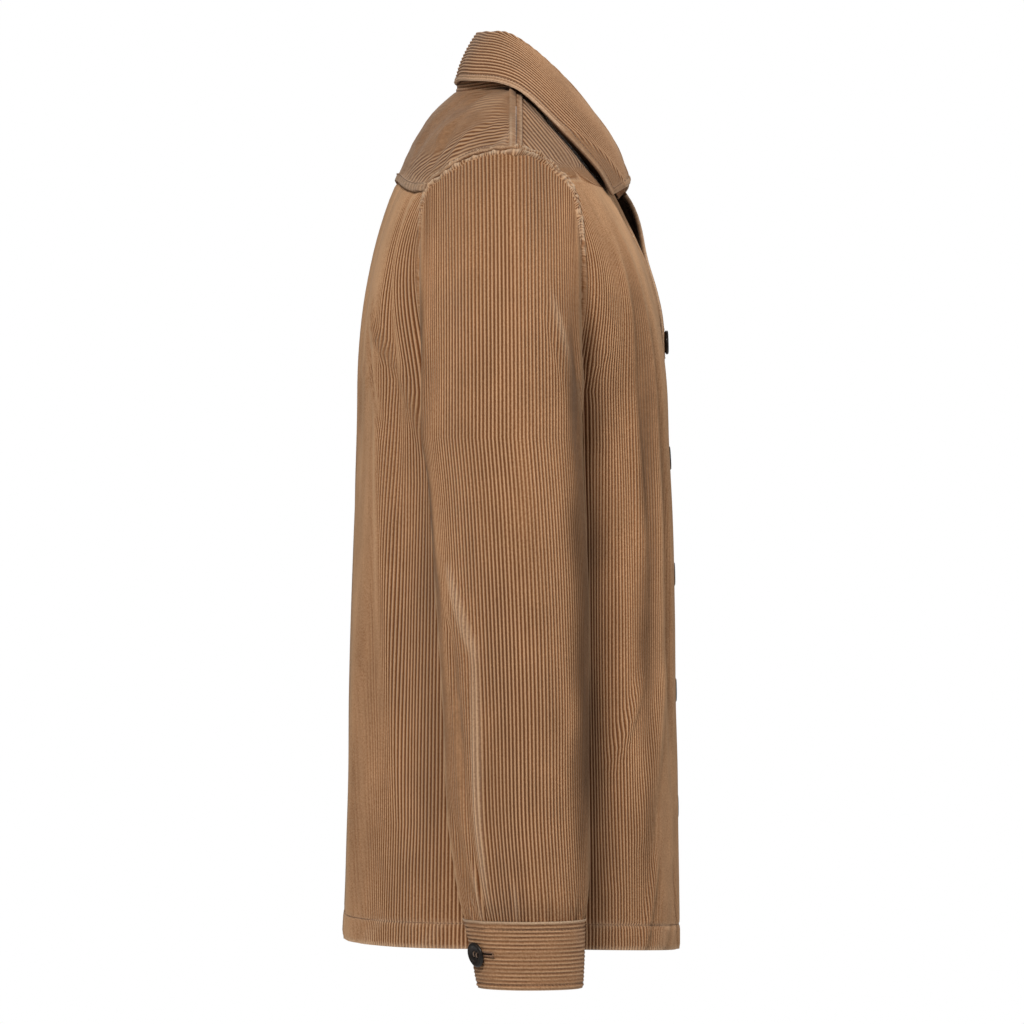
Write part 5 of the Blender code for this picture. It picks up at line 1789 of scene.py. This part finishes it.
def facing(place, normal, turn=0.0):
    """A frame at a place with its z along a normal and its y as far up as it goes."""
    z = unit(np.asarray(normal, float))
    x = unit(np.cross((0.0, 0.0, 1.0), z))
    y = np.cross(z, x)
    x, y = x * math.cos(turn) + y * math.sin(turn), y * math.cos(turn) - x * math.sin(turn)
    frame = Matrix.Identity(4)
    for k in range(3):
        frame[k][0], frame[k][1], frame[k][2], frame[k][3] = x[k], y[k], z[k], place[k]
    return frame


def tube(form, path, radius, sides):
    """Adds a closed round tube along a path to a bmesh."""
    path = np.asarray(path, float)
    ahead = unit(np.gradient(path, axis=0))
    side = unit(np.cross(ahead, (0.0131, 0.0172, 1.0)))
    lift = np.cross(side, ahead)
    rings = []
    for k, place in enumerate(path):
        turns = 2 * np.pi * np.arange(sides) / sides
        ways = [side[k] * math.cos(turn) + lift[k] * math.sin(turn) for turn in turns]
        rings.append([form.verts.new(place + radius * way) for way in ways])
    for first, second in zip(rings, rings[1:]):
        for k in range(sides):
            form.faces.new((first[k], second[k], second[(k + 1) % sides], first[(k + 1) % sides]))
    form.faces.new(rings[0])
    form.faces.new(rings[-1][::-1])


def thread_mesh():
    """The sewing thread of a button: two thick parallel stitches through its holes."""
    form = bmesh.new()
    for x in (-HOLE_INSET, HOLE_INSET):
        for step in (-0.00035, 0.0, 0.00035):
            share = np.linspace(-1.0, 1.0, 13)
            height = 0.62 * BUTTON_THICKNESS + 0.0006 * (1 - share**4) - 0.0012 * np.abs(share)**9
            tube(form, points(x + step * (1 - 0.3 * np.abs(share)), 0.0021 * share, height), 0.00032, 6)
    mesh = mesh_of(form, "button_thread")
    mesh.shade_smooth()
    return mesh


def cuff_place(hand, turn, rise):
    """A place on a cuff and its normal, from its button's middle round and up."""
    at, out = cuff_surface(np.array([CUFF_BUTTON_ANGLE + turn]), np.array([CUFF_BUTTON_Z + rise]))
    return at[0] * (hand, 1, 1), out[0] * (hand, 1, 1)


def button_places():
    """Each button's name, place, normal and turn, and its buttonhole's place and normal."""
    places = []
    for k in range(FRONT_BUTTONS):
        z = np.array([FIRST_BUTTON_Z - BUTTON_SPACING * k])
        normal = body_normal(FRONT, 0 * z, z)
        lift = front_lift(LEFT, 0 * z, z) + PLACKET_LIFT
        place = (body_point(FRONT, 0 * z, z) + normal * lift[..., None])[0]
        slot = (place - np.array((0.0, 0.0, SLOT_DROP)), normal[0])
        places.append((f"button_front_{k + 1}", place, normal[0], 0.10 * math.sin(5.0 * k), slot))
    for hand, name in ((RIGHT, "button_cuff_right"), (LEFT, "button_cuff_left")):
        slot = cuff_place(hand, SLOT_TURN, SLOT_RISE)
        places.append((name, *cuff_place(hand, 0.0, 0.0), 0.16 * hand, slot))
    return places


def make_buttons(material, thread, hole_materials):
    """The buttons with their thread, and the buttonholes under them; returns the buttonholes."""
    disc, sewn = button_mesh(), thread_mesh()
    disc.materials.append(material)
    sewn.materials.append(thread)
    holes = []
    for name, place, normal, turn, (at, out) in button_places():
        lying = math.pi / 2 if "cuff" in name else 0.0
        word = name.replace("button", "buttonhole")
        holes.append(make_buttonhole(word, facing(at + out * 0.0004, out, lying), hole_materials))
        seat = facing(place + normal * (BUTTON_CLEAR + 0.0002), normal, turn)
        for part, source, replaced in (("disc", disc, (name,)), ("thread", sewn, ())):
            mesh = source.copy()
            mesh.transform(seat)
            new_piece(f"{name}_{part}", mesh, None, "button", *replaced)
    return holes


def make_buttonhole(name, seat, materials):
    """A worked buttonhole: two rails of close stitches, bars at the ends and a dark sheet of painted shadow
    in the slit between.
    """
    form = bmesh.new()
    half = SLOT_LENGTH / 2
    corners = ((-SLOT_HALF, -half), (SLOT_HALF, -half), (SLOT_HALF, half), (-SLOT_HALF, half))
    slit = form.faces.new([form.verts.new((x, y, 0.0001)) for x, y in corners])
    slit.material_index = 1
    count = int(SLOT_LENGTH / 0.0007)
    for x in (-SLOT_RAIL, SLOT_RAIL):
        for k in range(count + 1):
            y = -half + SLOT_LENGTH * k / count
            path = [(x - 0.0008, y, 0.0), (x, y + 0.0001, 0.0004), (x + 0.0007, y, 0.0)]
            tube(form, path, SLOT_THREAD, 5)
    for y in (-half - 0.0004, half + 0.0004):
        tube(form, [(-0.0018, y, 0.0), (0.0, y, 0.0005), (0.0018, y, 0.0)], 0.0005, 6)
    mesh = mesh_of(form, name)
    mesh.transform(seat)
    mesh.shade_smooth()
    piece = new_piece(name, mesh, materials[0], "corduroy")
    mesh.materials.append(materials[1])
    return piece


def stitch_line(store, path, normal, seed):
    """Adds the stitches along a path on the cloth to a store of points and faces."""
    length = run_length(path)
    count = int(length[-1] / STITCH_PITCH)
    if count < 1:
        return
    jitter = np.random.default_rng(seed)
    at = (np.arange(count) + 0.5) * length[-1] / count

    def read(values, where):
        return np.stack([np.interp(where, length, values[:, axis]) for axis in range(3)], axis=-1)

    half = STITCH_PITCH * 0.40
    centre, out = read(path, at), unit(read(normal, at))
    ahead = unit(read(path, at + half) - read(path, at - half))
    side = np.cross(out, ahead)
    size = np.array((half, 0.00034, 0.00042))
    for k in range(count):
        wide = size * (1, jitter.uniform(0.85, 1.15), jitter.uniform(0.85, 1.15))
        tilt = ahead[k] + side[k] * jitter.uniform(-0.08, 0.08)
        place = centre[k] + STITCH @ np.array((tilt * wide[0], side[k] * wide[1], out[k] * wide[2]))
        base = len(store["places"])
        store["places"] += place.tolist()
        store["faces"] += [tuple(base + v for v in face) for face in STITCH_FACES]


def dressed(side, hand, share, z, relief):
    """Points on a body panel as it is dressed, with their normals."""
    signed = share * (hand or 1)
    normal = body_normal(side, signed, z)
    high = cloth_height(side, hand, signed, z, relief)
    return body_point(side, signed, z) + normal * (high + STITCH_LIFT)[..., None], normal


def beside_armhole(side, distance):
    """Columns and heights along an armhole, a distance off its edge on the body, from the underarm up."""
    edge_share, edge_z = armhole_line(side)
    place = np.stack([edge_share * QUARTER, edge_z], axis=-1)[::4]
    along = unit(np.gradient(place, axis=0))
    place = place + distance * np.stack([-along[:, 1], along[:, 0]], axis=-1)
    return place[:, 0] / QUARTER, place[:, 1]


def on_panel(side, hand, share, z):
    """Points and normals on a back or a front with its own relief."""
    return dressed(side, hand, share, z, panel_relief(side, hand, share, z))


def armhole_stitches(side, hand):
    """Lines beside an armhole: one on a front, and behind one below the yoke's seam and one above."""
    across, z = beside_armhole(side, ARMHOLE_STITCH)
    top = top_line(side, across)
    if side == FRONT:
        part = (across < 0.99) & (z < top - 0.010)
        return [on_panel(side, hand, across[part], z[part])]
    seam = yoke_height(across)
    lower = (z < seam - 0.001) & (across < 0.99)
    upper = (z > seam + 0.001) & (z < top - 0.003)
    across = across * hand
    return [on_panel(side, 0, across[lower], z[lower]),
            dressed(side, 0, across[upper], z[upper], yoke_relief(across[upper], z[upper]))]


def band_stitches(hand):
    """Lines along both edges of a front's band, and along its hem."""
    lines = []
    for inset in (BAND_STITCH, BAND_WIDTH - BAND_STITCH):
        z = np.linspace(HEM_Z + 0.004, -0.078, 420)
        place = inset + 0 * z
        share = band_share(place, z)
        lines.append(dressed(FRONT, hand, share, z, band_relief(hand, place, share, z)))
    place = np.linspace(0.002, BAND_WIDTH - 0.002, 24)
    share = band_share(place, HEM_Z + HEM_DEPTH + 0 * place)
    z = hem_height(FRONT, share) + HEM_DEPTH
    return lines + [dressed(FRONT, hand, share, z, band_relief(hand, place, share, z))]


def body_stitches():
    """Lines of topstitching on the body: hem, armholes, yoke, shoulders and bands."""
    across = np.linspace(-0.993, 0.993, 360)
    lines = [on_panel(BACK, 0, across, hem_height(BACK, across) + HEM_DEPTH)]
    edge = edge_at(BACK, YOKE_ANGLE) * 0.985
    across = np.linspace(-edge, edge, 260)
    z = yoke_height(across) + YOKE_STITCH
    lines.append(dressed(BACK, 0, across, z, yoke_relief(across, z)))
    for hand in (RIGHT, LEFT):
        across = np.linspace(front_start() + 0.004, 0.993, 180)
        lines.append(on_panel(FRONT, hand, across, hem_height(FRONT, across) + HEM_DEPTH))
        first = float(column_at(NECK_X + 0.005, 0.0))
        across = np.linspace(first, edge_at(FRONT, TOP_ANGLE - 6.0), 80)
        lines.append(on_panel(FRONT, hand, across, top_line(FRONT, across) - SHOULDER_STITCH))
        lines += armhole_stitches(BACK, hand) + armhole_stitches(FRONT, hand) + band_stitches(hand)
    return lines


def cuff_stitches(hand):
    """Lines of topstitching on a cuff: above, below and at its lapped end."""
    whole = CUFF_SECTIONS[0][0] - CUFF_SECTIONS[-1][0]
    turn = np.linspace(1.5, 358.0 + CUFF_LAP * 0.6, 300)
    down = np.linspace(CUFF_TOP_STITCH, whole - CUFF_LOW_STITCH, 20)
    lines = []
    for angle, depth in (
        (turn, CUFF_TOP_STITCH + 0 * turn),
        (turn, whole - CUFF_LOW_STITCH + 0 * turn),
        (CUFF_END_TURN + 0 * down, down),
    ):
        along = np.radians(np.asarray(angle) - CUFF_START) * 0.043
        place, normal = cuff_surface(CUFF_START + angle, CUFF_SECTIONS[0][0] - depth)
        lift = cuff_relief(hand, along, depth)[0]
        place = place + normal * (lift + STITCH_LIFT)[..., None]
        mirror = np.array((hand, 1, 1))
        lines.append((place * mirror, normal * mirror))
    return lines


def make_stitches(name, thread, lines, slot="corduroy"):
    """One piece from many lines of stitches, each a path with its normals."""
    store = {"places": [], "faces": []}
    for k, (path, normal) in enumerate(lines):
        if len(path) > 2:
            stitch_line(store, path, normal, k + 1)
    mesh = bpy.data.meshes.new(name)
    mesh.from_pydata(store["places"], [], store["faces"])
    mesh.shade_smooth()
    return new_piece(name, mesh, thread, slot)


# ---- Materials ----

def add_node(tree, kind, inputs=None, **settings):
    """A node with its settings, and its inputs linked or set."""
    node = tree.nodes.new(kind)
    for key, value in settings.items():
        setattr(node, key, value)
    for key, value in (inputs or {}).items():
        socket = node.inputs[key]
        if isinstance(value, bpy.types.NodeSocket):
            tree.links.new(value, socket)
        else:
            socket.default_value = value
    return node


def math_node(tree, operation, a, b=0.0, clamp=False):
    return add_node(tree, "ShaderNodeMath", {0: a, 1: b}, operation=operation, use_clamp=clamp).outputs[0]


def times(tree, a, b, clamp=False):
    return math_node(tree, "MULTIPLY", a, b, clamp)


def plus(tree, base, layer, weight, clamp=False):
    """base + layer * weight."""
    return math_node(tree, "ADD", base, times(tree, layer, weight), clamp)


def noise_node(tree, vector, scale, detail=2.0, roughness=0.5, distortion=0.0):
    return add_node(tree, "ShaderNodeTexNoise", {
        "Vector": vector, "Scale": scale, "Detail": detail, "Roughness": roughness, "Distortion": distortion
    }).outputs[0]


def object_place(tree):
    return add_node(tree, "ShaderNodeTexCoord").outputs["Object"]


def set_look(tree, surface, colour, height, strength, distance):
    """Gives a surface its colour and its bump."""
    tree.links.new(colour, surface.inputs["Base Color"])
    bump = add_node(tree, "ShaderNodeBump", {"Strength": strength, "Distance": distance, "Height": height})
    tree.links.new(bump.outputs[0], surface.inputs["Normal"])


def mix_colour(tree, share, a, b, blend="MIX"):
    node = add_node(tree, "ShaderNodeMix", {0: share}, data_type="RGBA", blend_type=blend)
    for key, value in ((6, a), (7, b)):
        if isinstance(value, bpy.types.NodeSocket):
            tree.links.new(value, node.inputs[key])
        else:
            node.inputs[key].default_value = (*value, 1.0)
    return node.outputs[2]


def ramp(tree, value, *stops):
    node = add_node(tree, "ShaderNodeValToRGB", {0: value})
    elements = node.color_ramp.elements
    while len(elements) < len(stops):
        elements.new(0.5)
    for element, (place, colour) in zip(elements, stops):
        element.position = place
        element.color = (*colour, 1.0) if hasattr(colour, "__len__") else (colour, colour, colour, 1.0)
    return node.outputs[0]


def new_material(name, **shader):
    material = bpy.data.materials.new(name)
    material.use_nodes = True
    tree = material.node_tree
    surface = tree.nodes["Principled BSDF"]
    for key, value in shader.items():
        surface.inputs[key.replace("_", " ")].default_value = value
    return material, tree, surface


def corduroy(name, valley, middle, ridge, bright):
    """Cotton corduroy: painted shade in the valleys, painted light on the cut-pile cords, a greyish painted
    sheen, pale worn edges, a dark inside.

    Each mesh says at its points where the cords are (cloth: wale, along, inside) and how they look there
    (look: contrast, wear and painted highlight, smooth pile and painted sheen). inside is 1 on the back of
    the cloth, and a share of that where shade is painted on its outer face, towards the back's colours.
    """
    material, tree, surface = new_material(
        name, Roughness=0.92, Specular_IOR_Level=0.12, Sheen_Weight=SHEEN, Sheen_Roughness=0.45,
        Sheen_Tint=(0.93, 0.80, 0.66, 1.0),
    )
    cloth = add_node(tree, "ShaderNodeAttribute", attribute_name="cloth").outputs["Vector"]
    look = add_node(tree, "ShaderNodeAttribute", attribute_name="look").outputs["Vector"]
    wale, along, inside = add_node(tree, "ShaderNodeSeparateXYZ", {0: cloth}).outputs
    contrast, wear, shade = add_node(tree, "ShaderNodeSeparateXYZ", {0: look}).outputs
    place = object_place(tree)

    def on_cloth(across, down):
        return add_node(tree, "ShaderNodeCombineXYZ", {
            0: times(tree, wale, across), 1: times(tree, along, down)
        }).outputs[0]

    tufts = noise_node(tree, on_cloth(1.7, 640.0), 1.0, 3.0, 0.7)
    streaks = noise_node(tree, on_cloth(0.71, 16.0), 1.0, roughness=0.55)
    patches = noise_node(tree, place, 9.0, 3.0, 0.55)
    blotches = noise_node(tree, place, 38.0, 2.0, 0.55)
    fibres = noise_node(tree, place, 2300.0, 3.0, 0.7)
    brushed = noise_node(tree, place, 260.0, 3.0, 0.7)

    # Painted shade in the cords' valleys and a painted highlight on their tops, following their real relief.
    wave = math_node(tree, "COSINE", times(tree, wale, math.tau))
    height = math_node(tree, "SUBTRACT", 0.55, times(tree, wave, times(tree, contrast, 0.50)))
    tone = plus(tree, height, math_node(tree, "SUBTRACT", tufts, 0.5), 1.15, clamp=True)
    colour = ramp(tree, tone, (0.08, valley), (0.50, middle), (0.98, ridge))
    light = 0.45
    for layer, weight in ((streaks, 0.30), (patches, 0.46), (blotches, 0.26), (fibres, 0.12)):
        light = plus(tree, light, layer, weight)
    grey = add_node(tree, "ShaderNodeCombineColor", {0: light, 1: light, 2: light}).outputs[0]
    colour = mix_colour(tree, 1.0, colour, grey, "MULTIPLY")
    # Pale worn edges, and painted highlights on wrinkle crests.
    colour = mix_colour(tree, times(tree, wear, times(tree, tufts, 1.5), clamp=True), colour, bright)
    # Painted sheen: a greyish tone where the pile is smoothed.
    nap_and_sheen = times(tree, shade, math_node(tree, "ADD", blotches, 0.15), clamp=True)
    painted_sheen_tones = [(stop, tuple(share * part for part in PAINTED_SHEEN_COLOUR)) for stop, share in PAINTED_SHEEN_STOPS]
    colour = mix_colour(tree, nap_and_sheen, colour, ramp(
        tree, plus(tree, times(tree, brushed, 0.6), blotches, 0.4), *painted_sheen_tones))
    # The back of the cloth, and painted shade where inside is a share of 1.
    colour = mix_colour(tree, inside, colour, mix_colour(tree, tufts, *INSIDE_AND_SHADE_COLOURS))
    pile = plus(tree, plus(tree, fibres, tufts, 1.4), height, 1.6)
    set_look(tree, surface, colour, pile, 0.55, 0.0005)
    return material


def thread_material(name, dark, light):
    """Twisted thread."""
    material, tree, surface = new_material(name, Roughness=0.7, Specular_IOR_Level=0.25,
                                           Sheen_Weight=0.2, Sheen_Roughness=0.5)
    twist = noise_node(tree, object_place(tree), 1500.0)
    set_look(tree, surface, ramp(tree, twist, (0.3, dark), (0.7, light)), twist, 0.4, 0.0002)
    return material


def button_material():
    """Dark brown-black moulded button, faintly marbled, with fine turning marks and small scuffs."""
    material, tree, surface = new_material("button_resin", Specular_IOR_Level=0.32, Coat_Weight=0.08,
                                           Coat_Roughness=0.20)
    place = object_place(tree)
    marble = noise_node(tree, place, 160.0, 4.0, distortion=1.6)
    scuff = noise_node(tree, place, 900.0, 3.0)
    colour = ramp(tree, marble, *BUTTON_TONES)
    tree.links.new(plus(tree, 0.24, scuff, 0.22), surface.inputs["Roughness"])
    set_look(tree, surface, colour, scuff, 0.15, 0.0001)
    return material


def slit_material():
    """A painted shadow for a buttonhole's slit: a dark sheet where the cloth parts."""
    material, tree, surface = new_material("slit_shadow", Roughness=0.95, Specular_IOR_Level=0.05)
    fray = noise_node(tree, object_place(tree), 1200.0)
    tree.links.new(ramp(tree, fray, (0.4, (0.010, 0.006, 0.004)), (0.8, (0.035, 0.018, 0.010))),
                   surface.inputs["Base Color"])
    return material


# ---- Stage ----

def area_light(name, place, size, power, colour):
    light = bpy.data.lights.new(name, "AREA")
    light.shape, light.size, light.size_y = "RECTANGLE", size[0], size[1]
    light.energy, light.color = power, colour
    lamp = add_object(name, light)
    lamp.location = place
    lamp.rotation_euler = (Vector(MIDDLE) - Vector(place)).to_track_quat("-Z", "Y").to_euler()


def make_world(scene):
    """White behind the jacket, with a softer light than that from all round."""
    scene.view_settings.view_transform = "Standard"
    scene.view_settings.look = "None"
    scene.world = bpy.data.worlds.new("studio")
    scene.world.use_nodes = True
    tree = scene.world.node_tree
    tree.nodes.clear()
    seen = add_node(tree, "ShaderNodeBackground", {"Color": (1, 1, 1, 1), "Strength": 1.0}).outputs[0]
    lit = add_node(tree, "ShaderNodeBackground", {"Color": (0.97, 0.98, 1, 1), "Strength": FILL}).outputs[0]
    camera_ray = add_node(tree, "ShaderNodeLightPath").outputs["Is Camera Ray"]
    both = add_node(tree, "ShaderNodeMixShader", {0: camera_ray, 1: lit, 2: seen}).outputs[0]
    tree.links.new(both, add_node(tree, "ShaderNodeOutputWorld").inputs[0])


def make_floor():
    """A pale floor well below the hem."""
    form = bmesh.new()
    place = Matrix.Translation((0, 0, FLOOR_Z))
    bmesh.ops.create_grid(form, x_segments=1, y_segments=1, size=FLOOR_HALF, matrix=place)
    mesh = mesh_of(form, "floor")
    material, tree, surface = new_material("floor_paper", Roughness=0.8, Specular_IOR_Level=0.2)
    grain = add_node(tree, "ShaderNodeTexNoise", {"Scale": 60.0, "Detail": 3.0}).outputs[0]
    tree.links.new(ramp(tree, grain, (0.3, 0.78), (0.7, 0.82)), surface.inputs["Base Color"])
    mesh.materials.append(material)
    add_object("floor", mesh)


def make_camera(scene):
    """Level with the middle of the jacket, square to its right side."""
    camera = bpy.data.cameras.new("camera")
    camera.sensor_width, camera.lens = 36.0, CAMERA_LENS
    camera.clip_start, camera.clip_end = 0.1, 100.0
    eye = add_object("camera", camera)
    eye.location = CAMERA_PLACE
    eye.rotation_euler = (math.pi / 2, 0.0, -math.pi / 2)
    scene.camera = eye


# ---- Making ----

brown = corduroy("corduroy_brown", *CORDUROY_TONES)
lit_collar_brown = corduroy("corduroy_collar_lit", *COLLAR_LIT_TONES)
thread = thread_material("thread_brown", *THREAD_TONES)
button_thread = thread_material("thread_button", *BUTTON_THREAD_TONES)
resin = button_material()
slit = slit_material()

back = make_back(brown)
yoke = make_yoke(brown)
bands = {RIGHT: make_band(RIGHT, "button_band_right", brown), LEFT: make_band(LEFT, "placket_left", brown)}
for hand, word in ((RIGHT, "right"), (LEFT, "left")):
    front = make_front(hand, f"front_{word}", brown)
    sleeve = make_sleeve(hand, f"sleeve_{word}", brown)
    cuff = make_cuff(hand, f"cuff_{word}", brown)
    welt = make_welt(hand, f"armhole_seam_{word}", brown)
    sewn = make_stitches(f"stitches_cuff_{word}", thread, cuff_stitches(hand))
leaf, collar_lines = make_leaf(lit_collar_brown)
stand = make_stand(lit_collar_brown)
collar_sewn = make_stitches("stitches_collar", thread, collar_lines, "collar")
holes = make_buttons(resin, button_thread, (thread, slit))
body_sewn = make_stitches("stitches_body", thread, body_stitches())
make_world(bpy.context.scene)
for light in LIGHTS:
    area_light(*light)
make_floor()
make_camera(bpy.context.scene)
